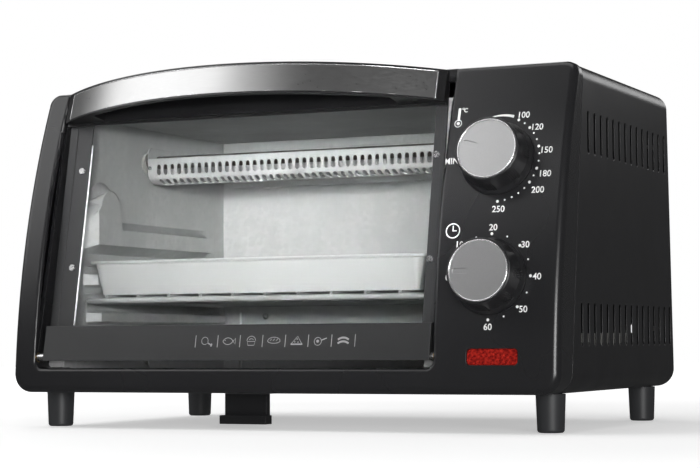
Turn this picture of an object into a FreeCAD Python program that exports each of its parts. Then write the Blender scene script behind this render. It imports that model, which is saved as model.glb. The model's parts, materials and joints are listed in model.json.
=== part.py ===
import FreeCAD, Part
import math
import os
import re
import Sketcher

# A countertop toaster oven. Millimetres, +X to the right seen from the front, +Y to the back, +Z up.
# The origin lies on the surface that the feet stand on, midway in width and in depth.
# Depths named "..._y" count from the bottom front edge of the bezel; place() moves them to the origin.

SIZES = {
    # casing
    "case_width": 360,
    "case_bottom": 22.1,
    "case_top": 213.9,
    "case_depth": 243.4,
    "case_top_depth": 233.4,
    "front_reach": 15.88,
    "rear_reach": 249.62,
    "curve_radius": 520,
    "curve_y": 519.8,
    "curve_z": 7.5,
    "seam_bottom_y": 21.9,
    "seam_top_y": 50.4,
    "seam_gap": 0.8,
    "bezel_wall": 2.5,
    "bezel_top_corner": 8,
    "bezel_bottom_corner": 11.5,
    "bezel_edge": 4.5,
    "shell_sheet": 0.8,
    "shell_top_corner": 10,
    "shell_rear_corner": 7,
    "rear_flange": 18,
    "panel_half": 171.5,
    "panel_bottom": 30,
    "panel_top": 206,
    "panel_clip": 7,
    # door opening and lamp opening of the bezel
    "opening_left": -163.6,
    "opening_right": 104.3,
    "opening_bottom": 36.9,
    "opening_corner": 4.5,
    "opening_edge": 2,
    "top_rail_bottom": 206,
    "top_rail_depth": 5,
    "lamp_x": 140.3,
    "lamp_z": 43.45,
    "lamp_width": 30,
    "lamp_height": 8.7,
    "lamp_corner": 1.8,
    "lamp_gap": 0.4,
    # vents
    "vent_width": 4.6,
    "upper_vent_bottom": 161,
    "upper_vent_top": 186.5,
    "upper_vent_y": 59,
    "upper_vent_pitch": 12.35,
    "lower_vent_bottom": 49,
    "lower_vent_top": 74.5,
    "lower_vent_y": 43,
    "lower_vent_pitch": 12.37,
    # feet
    "foot_x": 164.3,
    "front_foot_y": 31.8,
    "rear_foot_y": 214.6,
    "foot_top_radius": 8.65,
    "foot_bottom_radius": 7.85,
    "foot_edge": 1.8,
    # cavity
    "cavity_left": -152,
    "cavity_right": 93,
    "cavity_top": 197,
    "cavity_back_y": 228,
    "sheet": 0.8,
    "rear_band_bottom": 164,
    "rear_band_top": 191,
    "mouth_offset": 8.5,
    "ridge_depth": 8,
    "heater_y": 119,
    "upper_heater_z": 174,
    "lower_heater_z": 45,
    "heater_radius": 4.2,
    "guard_left": -142.7,
    "guard_half": 15,
    "guard_flat": 6,
    "guard_lip": 1.6,
    "guard_hip": 6,
    "guard_floor": 15,
    "guard_end_top": 9.1,
    "guard_slot": 2.9,
    "guard_pitch": 5.15,
    # door
    "door_x": -29.6,
    "door_y": 9.9,
    "door_z": 52,
    "door_tilt": 10.76,
    "pivot_y": 5,
    "pivot_z": 43.8,
    "pin_radius": 1.4,
    "pin_collar": 2.6,
    "glass_setback": 1.6,
    "glass_thickness": 3.2,
    # handle
    "handle_half": 127.7,
    "handle_bow": 40.6,
    "handle_lift": 8.6,
    "handle_tilt": 18,
    "handle_height": 20.1,
    "handle_y": 28.5,
    "handle_z": 193.7,
    "handle_end": 2.9,
    "handle_back": 5.7,
    "screw_x": 109,
    "screw_height": 149.2,
    # mains lead's inlet
    "gland_x": 150,
    "gland_z": 60,
    "gland_bore": 3.6,
    # controls
    "control_x": 137.5,
    "thermostat_y": 21.7,
    "thermostat_z": 156.8,
    "thermostat_tilt": 14.5,
    "timer_y": 6.35,
    "timer_z": 88.8,
    "timer_tilt": 9.2,
    "bracket_setback": 12.7,
    "bracket_bend_z": 108.7,
    "shaft_radius": 3,
    "knob_radius": 22,
    "knob_face_radius": 18.9,
    "knob_height": 19,
    # shelves
    "rack_z": 79.3,
    "rack_wire": 1.75,
    "rack_front_y": 33,
    "rack_back_y": 220,
    "tray_bottom": 83,
    "tray_rim": 104.5,
    "tray_half": 117,
    "tray_front_y": 32,
    "tray_back_y": 219,
    "tray_sheet": 1.2,
    "crumb_z": 21.1,
    "crumb_sheet": 0.6,
    "crumb_half": 118,
    "crumb_front_y": 44,
    "crumb_back_y": 224,
    "tab_half": 14.15,
    "tab_y": 28,
}

doc = FreeCAD.newDocument("toaster_oven")
sheet = doc.addObject("Spreadsheet::Sheet", "dims")
for row, (name, number) in enumerate(SIZES.items(), 1):
    sheet.set(f"A{row}", name)
    sheet.set(f"B{row}", str(number))
    sheet.setAlias(f"B{row}", name)
doc.recompute()

NODES = []
V = FreeCAD.Vector


# Helpers ----------------------------------------------------------------------------------------

def bound(expression):
    """The expression with each size's name pointing at the spreadsheet."""
    def swap(match):
        word = match.group(0)
        return "dims." + word if word in SIZES else word
    return re.sub(r"[a-z_]+", swap, str(expression))


def value(expression):
    """The number that an expression of sizes gives."""
    result = sheet.evalExpression(str(expression))
    return float(getattr(result, "Value", result))


def keep(item, name):
    """Make this object a sub-part of the oven under its own name."""
    item.Label = name
    NODES.append(item)
    return item


def place(item, x="0", y="0", z="0", turn=0.0):
    """Put a sub-part where it belongs; turn is about X. Depths count from the bezel's front."""
    middle = value("(rear_reach - front_reach) / 2")
    spot = V(value(x), value(y) - middle, value(z))
    item.Placement = FreeCAD.Placement(spot, FreeCAD.Rotation(V(1, 0, 0), turn))
    return item


def new_body(name):
    body = doc.addObject("PartDesign::Body", name)
    return keep(body, name)


def new_sketch(body, plane, offset="0", tilt="0"):
    """A sketch on one of the body's own origin planes, offset along the plane's normal."""
    sketch = body.newObject("Sketcher::SketchObject", "sketch")
    support = [item for item in body.Origin.OriginFeatures if item.Role == plane][0]
    sketch.AttachmentSupport = [(support, "")]
    sketch.MapMode = "FlatFace"
    rotation = FreeCAD.Rotation(V(1, 0, 0), value(tilt))
    sketch.AttachmentOffset = FreeCAD.Placement(V(0, 0, 0), rotation)
    sketch.setExpression("AttachmentOffset.Base.z", bound(offset))
    return sketch


def fix(sketch, edge, end, x=None, y=None):
    """Tie a point of the sketch to expressions of the sizes."""
    for kind, expression in (("DistanceX", x), ("DistanceY", y)):
        if expression is None:
            continue
        index = sketch.addConstraint(Sketcher.Constraint(kind, -1, 1, edge, end, value(expression)))
        sketch.setExpression(f"Constraints[{index}]", bound(expression))


def outline(sketch, corners):
    """A closed outline. A corner is (x, y), or (x, y, centre_x, centre_y, way) at an arc's end:
    way is 1 where the arc runs anticlockwise to it and -1 where it runs clockwise."""
    first = sketch.GeometryCount
    count = len(corners)
    spots = [V(value(corner[0]), value(corner[1]), 0) for corner in corners]
    ends = []
    for index in range(count):
        start = spots[index]
        stop = spots[(index + 1) % count]
        corner = corners[(index + 1) % count]
        if len(corner) == 2:
            sketch.addGeometry(Part.LineSegment(start, stop))
            ends.append((1, 2))
            continue
        centre = V(value(corner[2]), value(corner[3]), 0)
        radius = (start - centre).Length
        angles = [math.atan2(spot.y - centre.y, spot.x - centre.x) for spot in (start, stop)]
        if corner[4] < 0:
            angles.reverse()
        if angles[1] < angles[0]:
            angles[1] += 2 * math.pi
        circle = Part.Circle(centre, V(0, 0, 1), radius)
        sketch.addGeometry(Part.ArcOfCircle(circle, angles[0], angles[1]))
        ends.append((1, 2) if corner[4] > 0 else (2, 1))
    for index in range(count):
        after = (index + 1) % count
        joint = ("Coincident", first + index, ends[index][1], first + after, ends[after][0])
        sketch.addConstraint(Sketcher.Constraint(*joint))
    for index in range(count):
        fix(sketch, first + index, ends[index][0], corners[index][0], corners[index][1])
    for index in range(count):
        corner = corners[(index + 1) % count]
        if len(corner) == 2:
            continue
        chord = spots[(index + 1) % count] - spots[index]
        if abs(chord.x) >= abs(chord.y):
            fix(sketch, first + index, 3, y=corner[3])
        else:
            fix(sketch, first + index, 3, x=corner[2])


def rounded(left, right, low, high, radius):
    """Corners of a rectangle with rounded corners."""
    inner_left = f"({left}) + ({radius})"
    inner_right = f"({right}) - ({radius})"
    inner_low = f"({low}) + ({radius})"
    inner_high = f"({high}) - ({radius})"
    return [
        (inner_left, low, inner_left, inner_low, 1),
        (inner_right, low),
        (right, inner_low, inner_right, inner_low, 1),
        (right, inner_high),
        (inner_right, high, inner_right, inner_high, 1),
        (inner_left, high),
        (left, inner_high, inner_left, inner_high, 1),
        (left, inner_low),
    ]


def pill(left, right, low, high):
    """Corners of an upright slot with round ends."""
    radius = f"(({right}) - ({left})) / 2"
    middle = f"(({left}) + ({right})) / 2"
    base = f"({low}) + {radius}"
    top = f"({high}) - {radius}"
    return [(left, base), (right, base, middle, base, 1), (right, top), (left, top, middle, top, 1)]


def circle(sketch, x, y, radius):
    edge = sketch.addGeometry(Part.Circle(V(value(x), value(y), 0), V(0, 0, 1), value(radius)))
    fix(sketch, edge, 3, x, y)
    index = sketch.addConstraint(Sketcher.Constraint("Radius", edge, value(radius)))
    sketch.setExpression(f"Constraints[{index}]", bound(radius))


def pad(body, sketch, length, middle=False, back=False):
    feature = body.newObject("PartDesign::Pad", "pad")
    feature.Profile = sketch
    feature.setExpression("Length", bound(length))
    feature.Midplane = middle
    feature.Reversed = back
    doc.recompute()
    return feature


def pocket(body, sketch, length, middle=False, back=False):
    """Cut the sketch's outline out of the body, and make sure that something was cut."""
    before = body.Shape.Volume
    feature = body.newObject("PartDesign::Pocket", "pocket")
    feature.Profile = sketch
    feature.setExpression("Length", bound(length))
    feature.Midplane = middle
    feature.Reversed = back
    doc.recompute()
    if body.Shape.Volume > before - 0.01:
        raise RuntimeError(f"{body.Label}: a pocket cuts nothing")
    return feature


def revolve(body, sketch):
    """Turn a half section in the XZ plane about the body's Z axis."""
    feature = body.newObject("PartDesign::Revolution", "revolution")
    feature.Profile = sketch
    feature.ReferenceAxis = (sketch, ["V_Axis"])
    feature.Angle = 360
    doc.recompute()
    return feature


def fillet(body, radius, chosen):
    """Round the edges that the test chooses."""
    base = body.Tip
    names = []
    for index, edge in enumerate(base.Shape.Edges, 1):
        if chosen(edge):
            names.append(f"Edge{index}")
    feature = body.newObject("PartDesign::Fillet", "fillet")
    feature.Base = (base, names)
    feature.setExpression("Radius", bound(radius))
    doc.recompute()
    return feature


def repeat(body, feature, sketch, axis, length, count):
    """Repeat a feature in a row along an axis of its sketch."""
    pattern = body.newObject("PartDesign::LinearPattern", "row")
    pattern.Originals = [feature]
    pattern.Direction = (sketch, [axis])
    pattern.setExpression("Length", bound(length))
    pattern.Occurrences = count
    body.Tip = pattern
    doc.recompute()
    return pattern


def repeat_round(body, feature, sketch, count):
    """Repeat a feature evenly round the normal of its sketch."""
    pattern = body.newObject("PartDesign::PolarPattern", "ring")
    pattern.Originals = [feature]
    pattern.Axis = (sketch, ["N_Axis"])
    pattern.Angle = 360
    pattern.Occurrences = count
    body.Tip = pattern
    doc.recompute()
    return pattern


def cylinder(radius, length, at, along=(0, 0, 1)):
    """A Part cylinder bound to the sizes, for pieces that are plain turned stock."""
    item = doc.addObject("Part::Cylinder", "cylinder")
    item.setExpression("Radius", bound(radius))
    item.setExpression("Height", bound(length))
    spot = V(*[value(part) for part in at])
    item.Placement = FreeCAD.Placement(spot, FreeCAD.Rotation(V(0, 0, 1), V(*along)))
    doc.recompute()
    return item


def group(name, items):
    """Several separate solids that share one node."""
    compound = doc.addObject("Part::Compound", name)
    compound.Links = items
    doc.recompute()
    return keep(compound, name)


def fuse(items):
    union = doc.addObject("Part::MultiFuse", "union")
    union.Shapes = items
    doc.recompute()
    return union


def front_at(height, inset="0"):
    """Depth of the bezel's curved face, or of a surface inside it, at a height."""
    return f"(curve_y - sqrt((curve_radius - {inset}) ^ 2 - ({height} - curve_z) ^ 2))"


def seam_at(height):
    """Depth of the seam between bezel and shell at a height."""
    slope = "(seam_top_y - seam_bottom_y) / (case_top - case_bottom)"
    return f"(seam_bottom_y + ({height} - case_bottom) * {slope})"


def rear_at(height):
    """Depth of the shell's leaning rear face at a height."""
    slope = "(case_depth - case_top_depth) / (case_top - case_bottom)"
    return f"(case_depth - ({height} - case_bottom) * {slope})"


def mouth_at(height):
    """Depth of the cavity's mouth, a plane parallel to the door, at a height."""
    return f"(door_y + mouth_offset + ({height} - door_z) * tan(door_tilt))"


# Casing -----------------------------------------------------------------------------------------

def make_bezel():
    body = new_body("front_bezel")
    half = value("case_width / 2")
    top = value("case_top")
    bottom = value("case_bottom")
    side = new_sketch(body, "YZ_Plane")
    outline(side, [
        ("seam_bottom_y", "case_bottom"),
        ("seam_top_y", "case_top"),
        (front_at("case_top"), "case_top"),
        (front_at("case_bottom"), "case_bottom", "curve_y", "curve_z", 1),
    ])
    pad(body, side, "case_width", middle=True)

    def corner(height):
        def test(edge):
            box = edge.BoundBox
            level = abs(box.ZMin - height) < 0.01 and abs(box.ZMax - height) < 0.01
            return level and abs(abs(box.Center.x) - half) < 0.01
        return test

    fillet(body, "bezel_top_corner", corner(top))
    fillet(body, "bezel_bottom_corner", corner(bottom))

    def on_front(point):
        return abs(point.y - value(front_at(repr(point.z)))) < 0.02

    def front_rim(edge):
        spots = [vertex.Point for vertex in edge.Vertexes]
        spots.append(edge.valueAt((edge.FirstParameter + edge.LastParameter) / 2))
        return all(on_front(spot) for spot in spots)

    fillet(body, "bezel_edge", front_rim)
    shell = body.newObject("PartDesign::Thickness", "thickness")
    base = body.Shape

    def is_back(face):
        centre = face.CenterOfMass
        flat = face.Surface.TypeId == "Part::GeomPlane"
        return flat and abs(centre.y - value(seam_at(repr(centre.z)))) < 0.05

    names = [f"Face{index}" for index, face in enumerate(base.Faces, 1) if is_back(face)]
    shell.Base = (body.Tip if body.Tip != shell else shell.BaseFeature, names)
    shell.setExpression("Value", bound("bezel_wall"))
    shell.Reversed = True
    shell.Join = 0
    body.Tip = shell
    doc.recompute()
    # The door opening: a block behind the face, cut through so that its walls turn back to the seam.
    frame = new_sketch(body, "YZ_Plane", "opening_left - bezel_wall")
    low = "(opening_bottom - bezel_wall)"
    high = "(case_top - 1)"
    outline(frame, [
        (front_at(low, "1"), low),
        (seam_at(low), low),
        (seam_at(high), high),
        (front_at(high, "1"), high),
    ])
    pad(body, frame, "opening_right - opening_left + 2 * bezel_wall")
    opening = new_sketch(body, "XZ_Plane", "-seam_top_y - 10")
    radius = "opening_corner"
    outline(opening, [
        (f"opening_left + {radius}", "opening_bottom",
         f"opening_left + {radius}", f"opening_bottom + {radius}", 1),
        (f"opening_right - {radius}", "opening_bottom"),
        ("opening_right", f"opening_bottom + {radius}",
         f"opening_right - {radius}", f"opening_bottom + {radius}", 1),
        ("opening_right", "case_top + 5"),
        ("opening_left", "case_top + 5"),
        ("opening_left", f"opening_bottom + {radius}"),
    ])
    pocket(body, opening, "seam_top_y + 30", back=True)

    def opening_rim(edge):
        spots = [vertex.Point for vertex in edge.Vertexes]
        spots.append(edge.valueAt((edge.FirstParameter + edge.LastParameter) / 2))
        if not all(on_front(spot) for spot in spots):
            return False
        left = value("opening_left") - 0.01
        right = value("opening_right") + 0.01
        return all(left <= spot.x <= right for spot in spots)

    fillet(body, "opening_edge", opening_rim)
    # The rail across the top of the opening, behind the handle.
    rail = new_sketch(body, "YZ_Plane", "opening_left - 1")
    outline(rail, [
        (seam_at("top_rail_bottom") + " - top_rail_depth", "top_rail_bottom"),
        (seam_at("top_rail_bottom"), "top_rail_bottom"),
        ("seam_top_y", "case_top"),
        ("seam_top_y - top_rail_depth", "case_top"),
    ])
    pad(body, rail, "opening_right - opening_left + 2")
    # Holes for the lamp, the two control shafts and the door's bearings.
    lamp = new_sketch(body, "XZ_Plane", "10")
    outline(lamp, rounded("lamp_x - lamp_width / 2 - lamp_gap", "lamp_x + lamp_width / 2 + lamp_gap",
                          "lamp_z - lamp_height / 2 - lamp_gap", "lamp_z + lamp_height / 2 + lamp_gap",
                          "lamp_corner + lamp_gap"))
    pocket(body, lamp, "20")
    shafts = new_sketch(body, "XZ_Plane", "10")
    circle(shafts, "control_x", "thermostat_z - 1", "shaft_radius + 3.5")
    circle(shafts, "control_x", "timer_z - 0.5", "shaft_radius + 3.5")
    pocket(body, shafts, "60")
    bearings = new_sketch(body, "YZ_Plane", "0")
    circle(bearings, "pivot_y", "pivot_z", "pin_radius + 1.6")
    pocket(body, bearings, "2 * (bezel_wall - opening_left)", middle=True)
    return place(body)


def shell_form(body, inset, ahead):
    """The shell's outer form, or its inner one when inset by the sheet, reaching ahead of the seam."""
    side = new_sketch(body, "YZ_Plane")
    low = f"case_bottom + {inset}"
    high = f"case_top - {inset}"
    outline(side, [
        (f"seam_bottom_y + seam_gap - {ahead}", low),
        (rear_at(f"({low})") + f" - {inset}", low),
        (rear_at(f"({high})") + f" - {inset}", high),
        (f"seam_top_y + seam_gap - {ahead}", high),
    ])
    pad(body, side, f"case_width - 2 * {inset}", middle=True)
    half = value(f"case_width / 2 - {inset}")

    def long_side(height):
        level = value(height)

        def test(edge):
            box = edge.BoundBox
            flat = abs(box.ZMin - level) < 0.01 and abs(box.ZMax - level) < 0.01
            return flat and abs(abs(box.Center.x) - half) < 0.01
        return test

    def rear(edge):
        spots = [vertex.Point for vertex in edge.Vertexes]
        spots.append(edge.valueAt((edge.FirstParameter + edge.LastParameter) / 2))
        return all(abs(spot.y - value(rear_at(repr(spot.z)) + f" - {inset}")) < 0.05 for spot in spots)

    fillet(body, f"shell_top_corner - {inset}", long_side(high))
    fillet(body, f"bezel_bottom_corner - {inset}", long_side(low))
    fillet(body, f"shell_rear_corner - {inset}", rear)


def make_shell():
    body = new_body("outer_shell")
    shell_form(body, "0", "0")
    room = doc.addObject("PartDesign::Body", "shell_room")
    shell_form(room, "shell_sheet", "6")
    hollow = body.newObject("PartDesign::Boolean", "hollow")
    hollow.Type = "Cut"
    hollow.addObjects([room])
    body.Tip = hollow
    doc.recompute()
    floor = new_sketch(body, "XY_Plane", "case_bottom - 2")
    reach = "case_width / 2 - bezel_bottom_corner"
    back = "case_depth - shell_rear_corner"
    outline(floor, rounded(f"-({reach})", reach, "-10", back, "3"))
    pocket(body, floor, "5", back=True)
    window = new_sketch(body, "XZ_Plane", "-case_depth - 10")
    outline(window, [
        ("-case_width / 2 + rear_flange", "case_bottom - 1"),
        ("case_width / 2 - rear_flange", "case_bottom - 1"),
        ("case_width / 2 - rear_flange", "case_top - rear_flange"),
        ("-case_width / 2 + rear_flange", "case_top - rear_flange"),
    ])
    pocket(body, window, "40", back=True)
    rows = (("upper", 14), ("lower", 16))
    for name, count in rows:
        slot = new_sketch(body, "YZ_Plane")
        left = f"{name}_vent_y - vent_width / 2"
        right = f"{name}_vent_y + vent_width / 2"
        outline(slot, pill(left, right, f"{name}_vent_bottom", f"{name}_vent_top"))
        cut = pocket(body, slot, "case_width + 10", middle=True)
        repeat(body, cut, slot, "H_Axis", f"{name}_vent_pitch * {count - 1}", count)
    return place(body)



def line_behind(control, height, extra="0"):
    """Depth of the control bracket's face behind a control at a height."""
    return (f"({control}_y + (bracket_setback + {extra}) / cos({control}_tilt)"
            f" + ({height} - {control}_z) * tan({control}_tilt))")


def make_bottom_plate():
    body = new_body("bottom_plate")
    plate = new_sketch(body, "XY_Plane", "case_bottom")
    side = "case_width / 2 - bezel_bottom_corner - 0.1"
    outline(plate, rounded(f"-({side})", side, "seam_bottom_y + 1.1",
                           "case_depth - shell_rear_corner - 0.5", "4"))
    pad(body, plate, "1")
    window = new_sketch(body, "XY_Plane", "case_bottom")
    outline(window, rounded("door_x - 105", "door_x + 105", "52", "214", "4"))
    pocket(body, window, "5", back=True)
    holes = new_sketch(body, "XY_Plane", "case_bottom")
    for side in ("-", ""):
        circle(holes, f"{side}foot_x", "front_foot_y", "2")
        circle(holes, f"{side}foot_x", "rear_foot_y", "2")
    pocket(body, holes, "5", back=True)
    return place(body)


REAR_SCREWS = [("-168", "60"), ("-168", "180"), ("168", "60"), ("168", "180"),
               ("-80", "202"), ("80", "202")]


def make_rear_panel():
    body = new_body("rear_panel")
    side = new_sketch(body, "YZ_Plane")
    inset = "(shell_sheet + 0.1)"
    outline(side, [
        (rear_at("panel_bottom") + f" - {inset} - sheet", "panel_bottom"),
        (rear_at("panel_bottom") + f" - {inset}", "panel_bottom"),
        (rear_at("panel_top") + f" - {inset}", "panel_top"),
        (rear_at("panel_top") + f" - {inset} - sheet", "panel_top"),
    ])
    pad(body, side, "2 * panel_half", middle=True)
    # The sheet's corners are clipped to clear the shell's rounded ones.
    clips = new_sketch(body, "XZ_Plane", "-case_depth - 10")
    for x in (1, -1):
        for z, way in (("panel_top", -1), ("panel_bottom", 1)):
            beyond = f"{x} * (panel_half + 1)"
            corner = [
                (beyond, f"{z} - {way}"),
                (beyond, f"{z} + {way} * panel_clip"),
                (f"{x} * (panel_half - panel_clip + 1)", f"{z} - {way}"),
            ]
            outline(clips, corner if x * way > 0 else corner[::-1])
    pocket(body, clips, "40", back=True)
    holes = new_sketch(body, "XZ_Plane", "-case_depth - 10")
    for x, z in REAR_SCREWS:
        circle(holes, x, z, "1.6")
    circle(holes, "gland_x", "gland_z", "7")
    pocket(body, holes, "40", back=True)
    slot = new_sketch(body, "XZ_Plane", "-case_depth - 10")
    outline(slot, pill("105", "105 + vent_width", "120", "145"))
    cut = pocket(body, slot, "40", back=True)
    repeat(body, cut, slot, "H_Axis", "10 * 5", 6)
    return place(body)


def make_shell_holes():
    """The shell's rear flange is drilled for the panel's screws."""
    body = [item for item in NODES if item.Label == "outer_shell"][0]
    holes = new_sketch(body, "XZ_Plane", "-case_depth - 10")
    for x, z in REAR_SCREWS:
        circle(holes, x, z, "1.6")
    pocket(body, holes, "40", back=True)


def make_rear_screws():
    screws = []
    for x, z in REAR_SCREWS:
        surface = rear_at(z)
        head = cylinder("3.2", "1.8", (x, surface + " + 0.25", z), (0, 1, 0))
        shank = cylinder("1.6", "9", (x, surface + " - 8.5", z), (0, 1, 0))
        screws.append(fuse([head, shank]))
    place(group("rear_screws", screws))


def make_gland():
    body = new_body("cord_gland")
    section = new_sketch(body, "XZ_Plane")
    outline(section, [
        ("gland_bore", "-5"),
        ("6.9", "-5"),
        ("6.9", "0.6"),
        ("9.5", "0.6"),
        ("9.5", "2.6"),
        ("7", "9"),
        ("gland_bore", "9"),
    ])
    revolve(body, section)
    place(body, "gland_x", rear_at("gland_z") + " - shell_sheet", "gland_z", turn=-90)


def make_feet():
    screws = []
    spots = (("front_left", "-foot_x", "front_foot_y"), ("front_right", "foot_x", "front_foot_y"),
             ("rear_left", "-foot_x", "rear_foot_y"), ("rear_right", "foot_x", "rear_foot_y"))
    for name, x, y in spots:
        body = new_body("foot_" + name)
        section = new_sketch(body, "XZ_Plane")
        outline(section, [
            ("3.6", "0"),
            ("foot_bottom_radius - foot_edge", "0"),
            ("foot_bottom_radius", "foot_edge", "foot_bottom_radius - foot_edge", "foot_edge", 1),
            ("foot_top_radius", "case_bottom"),
            ("2.05", "case_bottom"),
            ("2.05", "13"),
            ("3.6", "13"),
        ])
        revolve(body, section)
        place(body, x, y)
        head = cylinder("3.3", "2", (x, y, "11"))
        shank = cylinder("1.95", "14", (x, y, "12.9"))
        screws.append(fuse([head, shank]))
    place(group("foot_screws", screws))


# Cavity -----------------------------------------------------------------------------------------

RIDGES = (
    rounded("42", "222", "60.5", "77.7", "3"),
    rounded("38", "222", "84", "102.2", "3"),
    [
        ("42", "110", "42", "113", 1),
        ("202", "110"),
        ("202", "132"),
        ("79", "132"),
        ("76", "144"),
        ("43", "144", "43", "140", 1),
        ("39", "140"),
        ("39", "113"),
    ],
)


RIDGE_DRAFT = 36


def make_side_wall(name, inner, way):
    """A side wall of the cavity; way is 1 where its outer side faces +X and -1 where it faces -X."""
    body = new_body(name)
    outer_offset = f"{inner}" if way > 0 else f"{inner} - sheet"
    side = new_sketch(body, "YZ_Plane", outer_offset)
    outline(side, [
        ("seam_bottom_y + 2", "case_bottom + 1.1"),
        ("cavity_back_y + 0.5", "case_bottom + 1.1"),
        ("cavity_back_y + 0.5", "cavity_top"),
        (mouth_at("cavity_top"), "cavity_top"),
        (mouth_at("opening_bottom + 0.4"), "opening_bottom + 0.4"),
        ("seam_bottom_y + 2", "opening_bottom + 0.4"),
    ])
    pad(body, side, "sheet")
    # The flange round the mouth, behind the gap beside the door.
    reach = "opening_right - cavity_right" if way > 0 else "cavity_left - opening_left"
    start = f"{inner}" if way > 0 else f"{inner} - ({reach} - 0.4)"
    flange = new_sketch(body, "YZ_Plane", start)
    low = "opening_bottom + 0.6"
    high = "cavity_top"
    outline(flange, [
        (mouth_at(low), low),
        (mouth_at(low) + " + sheet", low),
        (mouth_at(high) + " + sheet", high),
        (mouth_at(high), high),
    ])
    pad(body, flange, f"{reach} - 0.4")
    # Pressed ridges that carry the rack and the bake tray, hollow from outside.
    for corners in RIDGES:
        ridge = new_sketch(body, "YZ_Plane", inner)
        outline(ridge, corners)
        raised = pad(body, ridge, "ridge_depth", back=way > 0)
        raised.TaperAngle = -RIDGE_DRAFT
        dent = new_sketch(body, "YZ_Plane", f"{inner} + {way} * (sheet + 0.01)")
        outline(dent, corners)
        sunk = pocket(body, dent, "ridge_depth + 0.01", back=way < 0)
        sunk.TaperAngle = -RIDGE_DRAFT
        doc.recompute()
    holes = new_sketch(body, "YZ_Plane", f"{inner} - 5")
    circle(holes, "heater_y", "upper_heater_z", "7.05")
    circle(holes, "heater_y", "lower_heater_z", "7.05")
    pocket(body, holes, "10", back=True)
    return place(body)


def make_ceiling():
    body = new_body("cavity_ceiling")
    side = new_sketch(body, "YZ_Plane", "cavity_left - sheet")
    top = "cavity_top + 7"
    outline(side, [
        (mouth_at("cavity_top"), "cavity_top + 0.02"),
        ("cavity_back_y + 0.5", "cavity_top + 0.02"),
        ("cavity_back_y + 0.5", "cavity_top + sheet"),
        (mouth_at("cavity_top + sheet") + " + sheet", "cavity_top + sheet"),
        (mouth_at(top) + " + sheet", top),
        (mouth_at(top), top),
    ])
    pad(body, side, "cavity_right - cavity_left + 2 * sheet")
    return place(body)


def make_rear_wall():
    body = new_body("cavity_rear_wall")
    side = new_sketch(body, "YZ_Plane", "cavity_left - sheet")
    back = "cavity_back_y + 0.52"
    outline(side, [
        (back, "case_bottom + 1.1"),
        (f"{back} + sheet", "case_bottom + 1.1"),
        (f"{back} + sheet", "cavity_top + sheet"),
        (back, "cavity_top + sheet"),
    ])
    pad(body, side, "cavity_right - cavity_left + 2 * sheet")
    band = new_sketch(body, "XZ_Plane", f"-({back})")
    outline(band, rounded("cavity_left + 6", "cavity_right - 6", "rear_band_bottom", "rear_band_top", "5"))
    pad(body, band, "2")
    dent = new_sketch(body, "XZ_Plane", f"-({back} + sheet + 0.01)")
    outline(dent, rounded("cavity_left + 7", "cavity_right - 7",
                          "rear_band_bottom + 1", "rear_band_top - 1", "4"))
    pocket(body, dent, "2.01", back=True)
    return place(body)


def make_crumb_rails():
    """Two angle strips under the bottom plate that carry the crumb tray's edges."""
    rails = []
    for way in (-1, 1):
        body = doc.addObject("PartDesign::Body", "rail")
        section = new_sketch(body, "XZ_Plane", "-72")
        top = "case_bottom - 0.02"
        low = "crumb_z - 0.9"
        outer = f"door_x + {way} * (crumb_half + 1.2)"
        inner = f"door_x + {way} * (crumb_half - 4)"
        leg = f"door_x + {way} * (crumb_half + 0.4)"
        outline(section, [
            (outer, low), (inner, low), (inner, f"{low} + 0.6"), (leg, f"{low} + 0.6"),
            (leg, top), (outer, top),
        ])
        pad(body, section, "160", back=True)
        rails.append(body)
    place(group("crumb_tray_rails", rails))


def make_heater(name, height):
    tube = cylinder("heater_radius", "cavity_right - cavity_left + 36",
                    ("cavity_left - 10", "heater_y", height), (1, 0, 0))
    place(keep(tube, name), "cavity_left - 10", "heater_y", height)
    tube.Placement.Rotation = FreeCAD.Rotation(V(0, 0, 1), V(1, 0, 0))


def make_insulators():
    """Four ceramic bushes that hold the heaters in the cavity's side walls."""
    bushes = []
    for height in ("upper_heater_z", "lower_heater_z"):
        for spot, in (("cavity_left - 6",), ("cavity_right - 2",)):
            cut = doc.addObject("Part::Cut", "bush")
            cut.Base = cylinder("7", "8", (spot, "heater_y", height), (1, 0, 0))
            cut.Tool = cylinder("heater_radius + 0.02", "20", (f"{spot} - 5", "heater_y", height),
                                (1, 0, 0))
            doc.recompute()
            bushes.append(cut)
    place(group("heater_insulators", bushes))


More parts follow.
